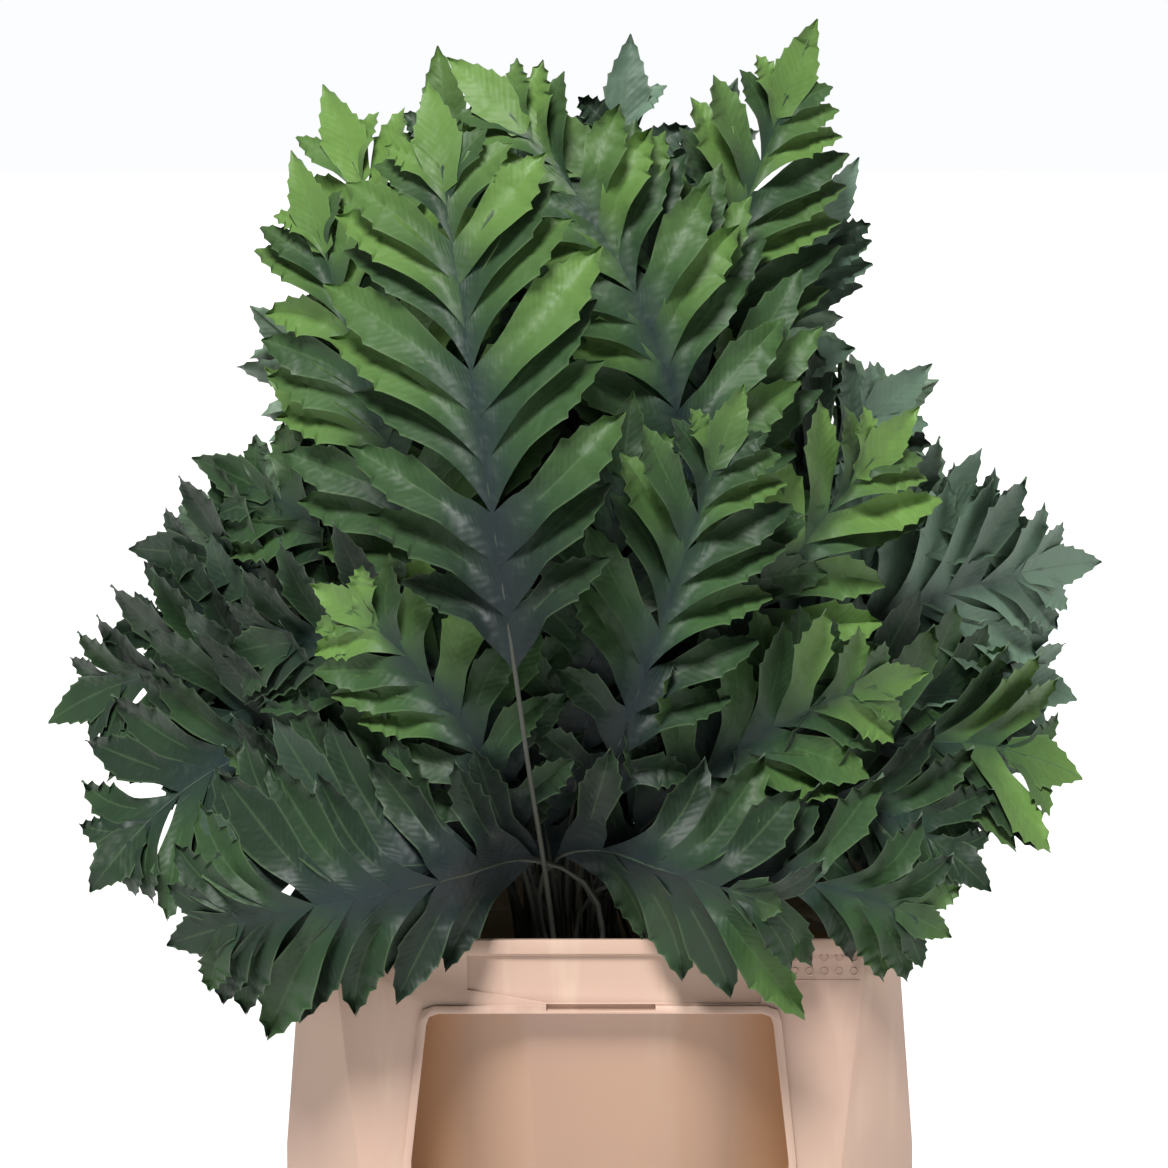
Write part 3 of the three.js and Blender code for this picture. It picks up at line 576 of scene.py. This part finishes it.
plans = []
for index, (tip, middle, blade, half_width, bow, roll, youth_and_shade) in enumerate(FRONT_FRONDS):
    plans.append({
        "tip": tip, "middle": middle, "blade": blade, "half_width": half_width, "bow": bow,
        "roll": roll, "layer": OWN_LAYERS.get(index, FRONT_LAYER - FRONT_LAYER_STEP * index),
        "facing": 0, "youth_and_shade": youth_and_shade, "neck": OWN_NECKS.get(index),
    })
plans.extend(back_frond(index) for index in range(BACK_FRONDS))
plans.extend(side_frond(index, facing) for index in range(len(SIDE_LAYERS)) for facing in (-1, 1))
for tip, middle, blade, half_width, layer in LOW_FRONDS:
    plans.append({
        "tip": tip, "middle": middle, "blade": blade, "half_width": half_width, "bow": 0,
        "roll": LOW_ROLL, "layer": layer, "facing": 0, "youth_and_shade": 0,
    })


FOOT_SLICE = 0.2


def as_packed(plan, number, name):
    """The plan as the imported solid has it: its foot tells which of the rule's tries was taken."""
    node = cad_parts[name].data
    points = np.empty(len(node.vertices) * 3)
    node.vertices.foreach_get("co", points)
    points = points.reshape(-1, 3) / MM
    foot = points[points[:, 2] < FOOT_Z + FOOT_SLICE].mean(axis=0)
    if plan["facing"] == 0:
        layer = -foot[1] / LAYER_DEPTH["foot"]
    else:
        layer = (foot[0] - SIDE_CENTRE) * plan["facing"] / SIDE_DEPTH["foot"]
    steps = round((layer - plan["layer"]) / LAYER_STEP)
    attempt = 2 * steps - 1 if steps > 0 else -2 * steps
    return {
        **plan,
        "number": number,
        "layer": plan["layer"] + steps * LAYER_STEP,
        "half_width": plan["half_width"] * (1 - WIDTH_STEP * attempt),
        "shift": SHIFT_SPREAD * spread(number + attempt, DRAW["shift"]),
        "curl": CURL["middle"] + CURL["spread"] * spread(number, DRAW["curl"]),
        "relief": max(0, 1 - RELIEF_STEP * attempt),
        "outward": -np.sign(plan["layer"]) if plan["facing"] == 0 else plan["facing"],
        "waviness": 1,
    }


def wing_y(x, height):
    """How far back the bunch sweeps at its two wings."""
    offset = x - FOLIAGE["x"]
    return offset * offset / WING["curve"] * smooth(WING["low"], WING["high"], height)


def layer_y(layer, x, height):
    """How far back a layer's sheet lies: close in the bucket, bulging above it, and bent out over
    the rim in the outermost layers."""
    stem_depth = blend(LAYER_DEPTH["foot"], LAYER_DEPTH["mouth"], smooth(*MOUTH_STRETCH, height))
    from_neck = np.hypot(x - NECK_X, np.maximum(0, height))
    across = (x - FOLIAGE["x"]) / FOLIAGE["reach"]
    up = (height - FOLIAGE["height"]) / FOLIAGE["reach"]
    dome = np.sqrt(np.maximum(0, 1 - across**2 - up**2))
    leaf_depth = LAYER_DEPTH["edge"] + LAYER_DEPTH["bulge"] * dome
    in_leaf = smooth(*NECK_STRETCH, from_neck) * smooth(*LEAF_STRETCH, height)
    depth = blend(stem_depth, leaf_depth, in_leaf)
    outer = smooth(HANG["from"], HANG["full"], abs(layer))
    low = 1 - smooth(HANG["low"], HANG["high"], height)
    beside = smooth(HANG["near"], HANG["far"], np.abs(x - NECK_X)) * smooth(*HANG_STRETCH, height)
    sheet = wing_y(x, height) * (WING["middle"] + WING["tilt"] * layer) - layer * depth
    return sheet - np.sign(layer) * HANG["out"] * outer * low * beside


def side_x(layer, facing, height):
    """How far to the right a sheet that faces a side lies."""
    stem_depth = blend(SIDE_DEPTH["foot"], SIDE_DEPTH["mouth"], smooth(*MOUTH_STRETCH, height))
    leaf_depth = SIDE_DEPTH["reach"] * smooth(0, SIDE_DEPTH["rise"], height)
    return SIDE_CENTRE + facing * layer * (stem_depth + leaf_depth)


def on_sheet(frond, across, height, lift):
    """Points in space of places across and up on a frond's sheet, moved off it by lift."""
    if frond["facing"] == 0:
        x = across
        y = layer_y(frond["layer"], across, height) + lift
    else:
        x = side_x(frond["layer"], frond["facing"], height)
        y = wing_y(x, height) * WING["middle"] - across
        x = x + lift
    return np.stack([x, y, height + RIM_HEIGHT], axis=-1)


def unit(vector):
    """Vectors of the same directions with a length of 1."""
    return vector / np.linalg.norm(vector, axis=-1, keepdims=True)


def rib_path(frond):
    """Places along the rib from the foot to the tip, their directions and their lengths along it."""
    neck_x = NECK_X if frond["facing"] == 0 else 0
    fan = max(-1, min(1, (frond["tip"][0] - neck_x) / SPREAD_REACH))
    foot_x = FOOT_SPREAD * fan + FOOT_STAGGER * spread(frond["number"], DRAW["lean"]) + frond["shift"]
    neck = frond.get("neck") or (neck_x + NECK_SPREAD * fan, NECK_HEIGHT)
    points = np.array([
        (foot_x, BEND_START),
        (neck[0] + frond["shift"], neck[1]),
        frond["middle"],
        frond["tip"],
    ], dtype=float)
    chords = np.diff(points, axis=0)
    lengths = np.linalg.norm(chords, axis=1)
    directions = unit(chords)
    tangents = np.zeros((4, 2))
    tangents[0] = (0, 1)
    for i in (0, 1):
        tangents[i + 1] = unit(directions[i] * lengths[i + 1] + directions[i + 1] * lengths[i])
    tangents[3] = unit(2 * directions[2] - tangents[2])
    samples = [np.array([foot_x, FOOT_Z - RIM_HEIGHT])]
    for i in range(3):
        for k in range(0 if i == 0 else 1, RIB_PARTS + 1):
            t = k / RIB_PARTS
            samples.append(
                (2 * t**3 - 3 * t**2 + 1) * points[i]
                + (t**3 - 2 * t**2 + t) * lengths[i] * tangents[i]
                + (3 * t**2 - 2 * t**3) * points[i + 1]
                + (t**3 - t**2) * lengths[i] * tangents[i + 1]
            )
    samples = np.array(samples)
    along = np.concatenate([[0], np.cumsum(np.linalg.norm(np.diff(samples, axis=0), axis=1))])
    return {"samples": samples, "along": along, "ways": unit(np.gradient(samples, along, axis=0))}


def rib_at(path, lengths):
    """Places on the rib and its directions there, at lengths from the foot."""
    places, ways = (
        np.stack([np.interp(lengths, path["along"], path[kind][:, i]) for i in (0, 1)], axis=-1)
        for kind in ("samples", "ways")
    )
    return places, unit(ways)


def lobe_reach(share):
    """How far a lobe at a share along the blade reaches, as a share of half the blade's width."""
    widest_at = LOBE_REACH["widest_at"]
    if share < widest_at:
        return 1 - LOBE_REACH["foot_loss"] * (1 - share / widest_at) ** 2
    beyond = (share - widest_at) / (1 - widest_at)
    return 1 - LOBE_REACH["tip_loss"] * beyond ** LOBE_REACH["taper"]


def relief_at(frond, blade_start, length, across):
    """How far the blade stands off its sheet at a length along the rib and a distance from it."""
    share = np.maximum(0, (length - blade_start) / frond["blade"])
    side = across / frond["half_width"]
    curl = frond["curl"] * side * side * smooth(0, CURL["full_at"], share)
    lift = frond["bow"] * share * share - curl
    turn = frond["roll"] * across * smooth(0, ROLL_FULL_AT, share)
    return frond["relief"] * (frond["outward"] * lift + turn)


BLADE_HALF = 0.25


def sheet_faces(rows, columns):
    """Four-sided faces of a closed thin plate: its upper grid, its lower grid and its edge."""
    count = rows * columns
    upper = np.arange(count).reshape(rows, columns)
    corners = [upper[:-1, :-1], upper[:-1, 1:], upper[1:, 1:], upper[1:, :-1]]
    top = np.stack(corners, axis=-1).reshape(-1, 4)
    bottom = top[:, [0, 3, 2, 1]] + count
    border = np.concatenate([upper[0, :-1], upper[:-1, -1], upper[-1, :0:-1], upper[:0:-1, 0]])
    following = np.roll(border, -1)
    edge = np.stack([border, border + count, following + count, following], axis=-1)
    return np.concatenate([top, bottom, edge])


def outward_faces(points, faces):
    """The faces turned so that the closed form's own side is inside."""
    a, b, c, d = (points[faces[:, i]] for i in range(4))
    volume = np.einsum("ij,ij->", np.cross(a, b), c) + np.einsum("ij,ij->", np.cross(a, c), d)
    return faces if volume > 0 else faces[:, ::-1]


class Leaf:
    """The points, faces and surface values of one frond as its plates are added."""

    def __init__(self):
        self.points = []
        self.faces = []
        self.values = []
        self.count = 0

    def add(self, points, faces, values):
        self.points.append(points)
        self.faces.append(outward_faces(points, faces) + self.count)
        self.values.append(values)
        self.count += len(points)


# Surface values kept at each point: share along the blade, share from rib to lobe tip, share from
# a lobe's own vein to its edge, lower side, tone of the lobe, stem, and place along and across it.
VALUES = ("along", "out", "edge", "under", "tone", "stem", "vein_x", "vein_y")


def add_plate(leaf, frond, blade_start, outline, offsets, marks):
    """Adds a thin closed plate whose grid of places lies on the frond's sheet."""
    across_x, height, length, out = outline
    relief = relief_at(frond, blade_start, length, out)
    middle = relief + frond["outward"] * offsets
    sides = []
    for side in (1, -1):
        sides.append(on_sheet(frond, across_x, height, middle + side * frond["outward"] * BLADE_HALF))
    points = np.concatenate([s.reshape(-1, 3) for s in sides])
    rows, columns = across_x.shape
    values = []
    for under in (0, 1):
        marks["under"] = np.full(across_x.shape, float(under))
        values.append(np.stack([marks[name].reshape(-1) for name in VALUES], axis=-1))
    leaf.add(points, sheet_faces(rows, columns), np.concatenate(values))


LOBE_TEETH = 3
TEETH_START = 0.55
SMOOTH_ROWS = 9
TOOTH = {
    "height": 1.6, "spread": 0.8, "rows": (0.45, 0.8, 1), "row_heights": (0.25, 1, -0.2), "last": 0.6,
}
LOBE_COLUMNS = np.array([-1, -0.86, -0.45, 0, 0.45, 0.86, 1])


def toothed_rows(smooth_rows, teeth_start, teeth):
    """Shares along a lobe for its rows, and how far its edge stands out at each."""
    shares = list(np.linspace(0, teeth_start, smooth_rows))
    edge = [0] * smooth_rows
    step = (1 - teeth_start) / (teeth + TOOTH["last"])
    for k in range(teeth):
        start = teeth_start + step * k
        shares.extend(start + row * step for row in TOOTH["rows"])
        edge.extend(TOOTH["row_heights"])
    shares.append(1)
    edge.append(0)
    return np.array(shares), np.array(edge)


LOBE_SHARES, LOBE_EDGE = toothed_rows(SMOOTH_ROWS, TEETH_START, LOBE_TEETH)
WEB_END = (0.16, 0.38)
BELLY_FROM = (0.24, 0.62)
WAIST = 0.64
WIDEST = 0.58
BLUNTNESS = 1.8
LAST_TOOTH = 0.3
LEAST_HALF = 0.35
LOBE_BEND = {"middle": -0.07, "spread": 0.16}
LOBE_TURN = math.radians(14)
TURNED_FROM = 20
LENGTH_SPREAD = 0.14
FOOT_TURN = (0.02, 0.36)
WEB_SHARE = 0.52
BELLY = {"share": 0.12, "least": 2.2, "spread": 0.3}
FREE_FROM = (0.06, 0.42)
FULLY_WAVED = 60
FOLD = {"middle": 6.5, "spread": 6, "power": 1.3, "at_rib": 0.05}
SHINGLE = {"middle": -6, "spread": 6}
DROOP = {"middle": -1, "spread": 13}
WAVE = {"height": 2.2, "along": 1.6, "start": 3, "across": 0.2}
LOBE_TONE = 0.6
WEB_EDGE = 0.5
EDGE_FROM = (0.12, 0.34)


def lobe_outline(web_half, belly_half, tooth, share, edge):
    """Half the lobe's width along it: the web at the rib, a waist, a belly and a blunt tip."""
    waist = blend(web_half, WAIST * belly_half, smooth(*WEB_END, share))
    body = blend(waist, belly_half, smooth(*BELLY_FROM, share))
    tip = np.maximum(0, (share - WIDEST) / (1 - WIDEST))
    teeth = tooth * edge * smooth(0, LAST_TOOTH, 1 - tip)
    return np.maximum(LEAST_HALF, body * (1 - tip**BLUNTNESS) + teeth)


def add_lobe(leaf, frond, path, blade_start, root, side, angle, reach, step, draws):
    """Adds one lobe, which leaves the rib steeply and arches out to its blunt toothed tip."""
    (place,), (way,) = rib_at(path, np.array([root]))
    draw, twist, arch = draws
    angle = angle + LOBE_TURN * twist * smooth(0, TURNED_FROM, reach)
    length = reach / math.sin(angle) * (1 + LENGTH_SPREAD * arch)
    t = LOBE_SHARES[:, None]
    u = LOBE_COLUMNS[None, :]
    bend = LOBE_BEND["middle"] + LOBE_BEND["spread"] * arch
    axis = np.array([math.cos(angle), math.sin(angle)])
    back = np.array([-math.sin(angle), math.cos(angle)])
    centre = length * t * axis + length * bend * 4 * (t * (1 - t)) * back
    slope = unit(axis + bend * 4 * (1 - 2 * t) * back)
    sideways = np.stack([slope[:, 1], -slope[:, 0]], axis=-1)
    along_rib = np.array([[1.0, 0.0]])
    turned = unit(blend(along_rib, sideways, smooth(*FOOT_TURN, t)))
    straight = np.sum(turned * sideways, axis=-1, keepdims=True)
    web_half = WEB_SHARE * step * slope[:, 1:]
    belly = (BELLY["share"] * length + BELLY["least"]) * (1 + BELLY["spread"] * twist)
    tooth = TOOTH["height"] * (1 + TOOTH["spread"] * draw)
    half = lobe_outline(web_half, belly, tooth, t, LOBE_EDGE[:, None])
    wide = half / straight
    forward = centre[:, :1] + turned[:, :1] * wide * u
    out = np.maximum(0, centre[:, 1:] + turned[:, 1:] * wide * u)
    x = place[0] + way[0] * forward + side * way[1] * out
    height = place[1] + way[1] * forward - side * way[0] * out
    free = smooth(*FREE_FROM, t)
    size = frond["waviness"] * min(1, length / FULLY_WAVED)
    fold = (FOLD["middle"] + FOLD["spread"] * draw) * np.abs(u) ** FOLD["power"]
    fold = fold * size * blend(FOLD["at_rib"], 1, free)
    shingle = (SHINGLE["middle"] + SHINGLE["spread"] * twist) * size * u * free
    droop = (DROOP["middle"] + DROOP["spread"] * arch) * size * t**2
    turns = WAVE["along"] * t + WAVE["start"] * draw + WAVE["across"] * u
    wave = WAVE["height"] * size * np.sin(2 * math.pi * turns) * np.abs(u) * free
    share = np.clip((root + forward - blade_start) / frond["blade"], 0, 1)
    marks = {
        "along": share,
        "out": np.broadcast_to(t, x.shape) * reach / frond["half_width"],
        "edge": blend(WEB_EDGE, np.abs(u), smooth(*EDGE_FROM, t)),
        "tone": np.full(x.shape, frond["youth_and_shade"] + LOBE_TONE * draw),
        "stem": np.zeros(x.shape),
        "vein_x": length * t * MM + 0 * u,
        "vein_y": half * u * MM,
    }
    outline = (x, height, root + forward, side * out)
    add_plate(leaf, frond, blade_start, outline, fold + shingle + droop + wave, marks)


TIP_ROWS = {"smooth_rows": 6, "teeth_start": 0.3, "teeth": 4}
TIP_SHARES, TIP_EDGE = toothed_rows(**TIP_ROWS)
TIP_OVERLAP = 12
TIP_SWEEP = 0.6
TIP_WIDTH = {"share": 1.08, "foot": 0.5, "full_at": 0.42, "taper": 2.2}
TIP_TOOTH = {"share": 0.12, "fading": 0.3}
TIP_FOLD = 2.2
TIP_WAVE = {"height": 0.9, "along": 2}
TIP_OUT = (0.45, 0.95)


def add_terminal(leaf, frond, path, blade_start, start, end):
    """Adds the narrow leaf at the tip, whose few teeth point forward and shrink to its end."""
    t = TIP_SHARES[:, None]
    u = LOBE_COLUMNS[None, :]
    lengths = blend(start - TIP_OVERLAP, end, TIP_SHARES)
    places, ways = rib_at(path, lengths)
    leaf_half = TIP_WIDTH["share"] * min(
        TERMINAL["half"], frond["half_width"] * TERMINAL["half_share"],
    )
    widening = blend(TIP_WIDTH["foot"], 1, smooth(0, TIP_WIDTH["full_at"], t))
    swell = widening * (1 - t ** TIP_WIDTH["taper"])
    teeth = TIP_TOOTH["share"] * leaf_half * TIP_EDGE[:, None] * (1 - t) ** TIP_TOOTH["fading"]
    half = np.maximum(LEAST_HALF, leaf_half * swell + teeth)
    swept = TIP_SWEEP * half * np.abs(u) * (1 - t)
    x = places[:, :1] + ways[:, 1:] * half * u + ways[:, :1] * swept
    height = places[:, 1:] - ways[:, :1] * half * u + ways[:, 1:] * swept
    fold = TIP_FOLD * np.abs(u) ** FOLD["power"]
    wave = TIP_WAVE["height"] * np.sin(2 * math.pi * (TIP_WAVE["along"] * t + frond["youth_and_shade"])) * u
    length = lengths[:, None] + swept
    marks = {
        "along": np.clip((length - blade_start) / frond["blade"], 0, 1),
        "out": np.broadcast_to(blend(*TIP_OUT, t), x.shape),
        "edge": np.broadcast_to(np.abs(u), x.shape),
        "tone": np.full(x.shape, frond["youth_and_shade"]),
        "stem": np.zeros(x.shape),
        "vein_x": (length - start) * MM,
        "vein_y": half * u * MM,
    }
    add_plate(leaf, frond, blade_start, (x, height, length, half * u), fold + wave, marks)


STEM_SIDES = 8
STEM_RINGS = 18
RIB_RINGS = 40
STEM_RADIUS = 1.65
RIB_RADIUS = 1.1
RIB_END_RADIUS = 0.4
RIB_THINNING = 0.7
RIB_END_GAP = 3
RIB_SINK = {"share": 0.6, "full_at": 0.1}
BROWN_END = 0.35
RIB_BROWN = 0.35
WELL_ROOM = {"floor_z": 4, "floor": 105, "top_z": 250, "top": 130}


def add_stem(leaf, frond, path, blade_start, end):
    """Adds the round stem, kept off the well's walls, which runs on as the blade's raised rib."""
    bend_start = path["along"][1]
    stem_lengths = np.linspace(bend_start, blade_start, STEM_RINGS)[:-1]
    rib_lengths = np.linspace(blade_start, end - RIB_END_GAP, RIB_RINGS)
    lengths = np.concatenate([[0], stem_lengths, rib_lengths])
    places, ways = rib_at(path, lengths)
    relief = relief_at(frond, blade_start, lengths, np.zeros(len(lengths)))
    centres = on_sheet(frond, places[:, 0], places[:, 1], relief)
    well_height = WELL_ROOM["top_z"] - WELL_ROOM["floor_z"]
    up_well = (centres[:, 2] - WELL_ROOM["floor_z"]) / well_height
    room = blend(WELL_ROOM["floor"], WELL_ROOM["top"], up_well)
    in_well = (lengths < blade_start) & (centres[:, 2] < RIM_HEIGHT)
    centres[:, 1] = np.where(in_well, np.clip(centres[:, 1], -room, room), centres[:, 1])
    tangents = unit(np.gradient(centres, axis=0))
    lift_axis = np.array([0, 1, 0]) if frond["facing"] == 0 else np.array([1, 0, 0])
    first = unit(np.cross(tangents, lift_axis))
    second = np.cross(tangents, first)
    share = np.clip((lengths - blade_start) / frond["blade"], 0, 1)
    radius = blend(STEM_RADIUS, RIB_RADIUS, smooth(bend_start, blade_start, lengths))
    radius = np.where(share > 0, blend(RIB_RADIUS, RIB_END_RADIUS, share**RIB_THINNING), radius)
    sink = RIB_SINK["share"] * radius * smooth(0, RIB_SINK["full_at"], share)
    centres = centres - lift_axis * (frond["outward"] * sink)[:, None]
    turns = (2 * math.pi * np.arange(STEM_SIDES) / STEM_SIDES)[None, :, None]
    ring = np.cos(turns) * first[:, None, :] + np.sin(turns) * second[:, None, :]
    points = (centres[:, None, :] + radius[:, None, None] * ring).reshape(-1, 3)
    points = np.concatenate([points, centres[:1], centres[-1:]])
    count = len(lengths)
    index = np.arange(count * STEM_SIDES).reshape(count, STEM_SIDES)
    beside = np.roll(index, -1, axis=1)
    walls = np.stack([index[:-1], beside[:-1], beside[1:], index[1:]], axis=-1).reshape(-1, 4)
    foot = count * STEM_SIDES
    caps = []
    for near, far, hub in ((beside[0], index[0], foot), (index[-1], beside[-1], foot + 1)):
        hubs = np.full(STEM_SIDES, hub)
        caps.append(np.stack([near, far, hubs, hubs], axis=-1))
    faces = np.concatenate([walls, *caps])
    along = np.concatenate([np.repeat(share, STEM_SIDES), [0, 1]])
    bare = np.concatenate([np.repeat(1 - smooth(0, BROWN_END, share), STEM_SIDES), [1, 0]])
    zero = np.zeros(len(points))
    marks = {
        "along": along, "out": zero, "edge": zero, "under": zero,
        "tone": zero + frond["youth_and_shade"], "stem": blend(RIB_BROWN, 1, bare),
        "vein_x": zero, "vein_y": zero,
    }
    leaf.add(points, faces, np.stack([marks[name] for name in VALUES], axis=-1))


def add_lobes(leaf, frond, path, blade_start, lobed_end):
    """Adds the pairs of lobes up to the leaf at the tip."""
    pairs = math.floor((lobed_end - blade_start) / LOBE_SPACING + 0.5)
    for i in range(pairs):
        share = (i + 0.5) / pairs
        root_low, root, root_high = (
            blend(blade_start, lobed_end, s + LOBE_CROWDING * s * (1 - s))
            for s in (i / pairs, share, (i + 1) / pairs)
        )
        step = root_high - root_low
        for side in (-1, 1):
            number = frond["number"] * MOST_LOBES + i * 2 + (side + 1) / 2
            draw = spread(number, DRAW["lobe"])
            opening = LOBE_ANGLE["opening"] * (1 - share) ** 2
            angle = math.radians(LOBE_ANGLE["tip"] + opening + LOBE_ANGLE["spread"] * draw)
            reach = frond["half_width"] * lobe_reach(share) * (1 + LOBE_REACH["spread"] * draw)
            draws = (draw, spread(number, DRAW["twist"]), spread(number, DRAW["arch"]))
            add_lobe(leaf, frond, path, blade_start, root, side, angle, reach, step, draws)


def frond_leaf(frond):
    """The whole frond: its stem and rib, its lobes and the leaf at its tip."""
    leaf = Leaf()
    path = rib_path(frond)
    end = path["along"][-1]
    blade_start = end - frond["blade"]
    terminal = min(TERMINAL["longest"], frond["blade"] * TERMINAL["share"])
    add_stem(leaf, frond, path, blade_start, end)
    add_lobes(leaf, frond, path, blade_start, end - terminal)
    add_terminal(leaf, frond, path, blade_start, end - terminal, end)
    return leaf


SLATE = colour(17, 34, 38)
# Darker near a blade's foot: partly the older blade's own colour, partly painted shade deep in the
# bunch.
BASE_AGED_AND_SHADED = colour(10, 20, 19)
LEAF_GREEN = colour(50, 79, 41)
DEEP_GREEN = colour(22, 42, 25)
YOUNG_GREEN = colour(99, 133, 62)
BLOOM = colour(106, 132, 112)
PALE_EDGE = colour(104, 130, 88)
UNDERSIDE = colour(98, 120, 98)
STEM_BROWN = colour(62, 64, 56)

# Where each tint starts to show on its surface value, where it is full, and its strength there.
TINTS = {
    "leafy": (0, 1, 1),
    "young": (0.85, 1.55, 0.9),
    "pale": (-0.6, -0.95, 0.8),
    "slate": (0.88, 0.22, 1),
    "base": (0.5, 0, 0.75),
    "edge": (0.86, 1, 0.22),
    "vein": (0.1, 0, 0.16),
    "under": (0.4, 0.6, 0.85),
    "stem": (0.3, 1, 0.95),
}
OUT_TO_AGE = 0.2
ALONG_TO_SLATE = 0.5
MOTTLE_TO_SLATE = 0.3
VEIN_SLANT = -1.1

frond_material, tree, shader = new_material("frond")
place = put(tree, "ShaderNodeTexCoord").outputs["Object"]


def mark(name):
    """A surface value of the fronds, as a socket."""
    return put(tree, "ShaderNodeAttribute", attribute_name=name).outputs["Fac"]


def sum_of(first, second, factor=1):
    """The first value and the second one times a factor, as a socket."""
    if factor != 1:
        second = math_of(tree, "MULTIPLY", second, factor)
    return math_of(tree, "ADD", first, second)


def tint(value, kind):
    """How strong a kind of tint is where its surface value is as given, as a socket."""
    start, full, strength = TINTS[kind]
    return put(tree, "ShaderNodeMapRange", {
        "Value": value, "From Min": start, "From Max": full, "To Max": strength,
    }, interpolation_type="SMOOTHSTEP").outputs["Result"]


def noise(scale, detail):
    """Soft patches of a scale all through the fronds, as a socket."""
    return put(tree, "ShaderNodeTexNoise", {
        "Vector": place, "Scale": scale, "Detail": detail,
    }).outputs["Fac"]


mottle = noise(55.0, 3.0)
patches = noise(14.0, 2.0)
along, out, edge, tone = (mark(name) for name in ("along", "out", "edge", "tone"))
# A lower tone gives deeper green; on the low fronds that darkening is painted shade.
green = mixed(tree, tint(sum_of(patches, tone), "leafy"), DEEP_GREEN, LEAF_GREEN)
aged = mixed(tree, tint(tone, "pale"), green, BLOOM)
age = sum_of(sum_of(along, tone), out, OUT_TO_AGE)
blade_green = mixed(tree, tint(age, "young"), aged, YOUNG_GREEN)
from_rib = sum_of(sum_of(out, along, ALONG_TO_SLATE), mottle, MOTTLE_TO_SLATE)
bloomed = mixed(tree, tint(from_rib, "slate"), blade_green, SLATE)
# Towards each blade's foot and on the stem: partly older colour, partly painted shade.
aged_and_shaded = mixed(tree, tint(along, "base"), bloomed, BASE_AGED_AND_SHADED)
edged = mixed(tree, tint(edge, "edge"), aged_and_shaded, PALE_EDGE)
veined = mixed(tree, tint(edge, "vein"), edged, PALE_EDGE)
below_side = mixed(tree, tint(mark("under"), "under"), veined, UNDERSIDE)
stalk = mixed(tree, tint(mark("stem"), "stem"), below_side, STEM_BROWN)
tree.links.new(stalk, shader.inputs["Base Color"])
tree.links.new(share_between(tree, mottle, 0, 1, 0.44, 0.66), shader.inputs["Roughness"])
shader.inputs["Specular IOR Level"].default_value = 0.34
shader.inputs["Sheen Weight"].default_value = 0.04
shader.inputs["Sheen Roughness"].default_value = 0.5

# Fine veins slant from each lobe's own vein to its edge.
slant = sum_of(mark("vein_x"), math_of(tree, "ABSOLUTE", mark("vein_y")), VEIN_SLANT)
vein_place = put(tree, "ShaderNodeCombineXYZ", {"X": slant, "Y": tone}).outputs["Vector"]
veins = put(tree, "ShaderNodeTexWave", {
    "Vector": vein_place, "Scale": 75.0, "Distortion": 1.2, "Detail": 1.0, "Detail Scale": 2.0,
}).outputs["Fac"]
vein_bump = put(tree, "ShaderNodeBump", {"Height": veins, "Strength": 0.13, "Distance": 0.0006})
skin = put(tree, "ShaderNodeBump", {
    "Height": noise(130.0, 1.0), "Strength": 0.4, "Distance": 0.003,
    "Normal": vein_bump.outputs["Normal"],
})
tree.links.new(skin.outputs["Normal"], shader.inputs["Normal"])

LEAF_SHARP_ANGLE = math.radians(50)


def leaf_piece(name, frond):
    """The finished frond as an object of its own."""
    leaf = frond_leaf(frond)
    points = np.concatenate(leaf.points) * MM
    corners = np.concatenate(leaf.faces).tolist()
    faces = [face[:3] if face[2] == face[3] else face for face in corners]
    values = np.concatenate(leaf.values)
    mesh = bpy.data.meshes.new(name)
    mesh.from_pydata(points.tolist(), [], faces)
    for index, value_name in enumerate(VALUES):
        attribute = mesh.attributes.new(value_name, "FLOAT", "POINT")
        attribute.data.foreach_set("value", values[:, index].astype(np.float32))
    mesh.materials.append(frond_material)
    mesh.shade_smooth()
    mesh.set_sharp_from_angle(angle=LEAF_SHARP_ANGLE)
    piece = bpy.data.objects.new(name, mesh)
    bpy.context.scene.collection.objects.link(piece)
    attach(piece, "root")
    return piece


for number, plan in enumerate(plans):
    name = f"frond_{number + 1:02d}"
    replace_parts(leaf_piece(f"{name}_leaf", as_packed(plan, number, name)), name)

# Inner fronds
# The real bunch holds more fronds than its solids do. These fill the dark depths between the others:
# each is cut like an outer neighbour, but flatter, a little shorter, turned aside and further in.
INNER_OF = (
    1, 4, 5, 6, 7, 9, 11, 13, 15, 16, 18, 21, 23, 27, 30,
    33, 35, 38, 40, 42, 44, 45, 46, 47, 50, 51,
)
INNER_TURN = math.radians(11)
INNER_TURN_SHARE = 0.7
INNER_SHARE = 0.94
INNER_DEPTH = 0.04
INNER_WAVINESS = 0.4
INNER_YOUTH = -0.25


def turned_about_neck(place, turn, share):
    """A place moved about the neck of the bunch by a turn and nearer to it by a share."""
    across, up = (place[0] - NECK_X, place[1] - NECK_HEIGHT)
    return (
        NECK_X + share * (across * math.cos(turn) + up * math.sin(turn)),
        NECK_HEIGHT + share * (up * math.cos(turn) - across * math.sin(turn)),
    )


for order, index in enumerate(INNER_OF):
    outer = as_packed(plans[index], index, f"frond_{index + 1:02d}")
    upwards = 1 if outer["tip"][0] < NECK_X else -1
    turn = INNER_TURN * upwards * (INNER_TURN_SHARE + spread(order, DRAW["fan"]))
    inner = {
        **outer,
        "number": len(plans) + order,
        "tip": turned_about_neck(outer["tip"], turn, INNER_SHARE),
        "middle": turned_about_neck(outer["middle"], turn, INNER_SHARE),
        "blade": outer["blade"] * INNER_SHARE,
        "layer": outer["layer"] - INNER_DEPTH * np.sign(outer["layer"]),
        "bow": 0,
        "youth_and_shade": outer["youth_and_shade"] + INNER_YOUTH,
        "waviness": INNER_WAVINESS,
    }
    leaf_piece(f"inner_frond_{order + 1:02d}", inner)
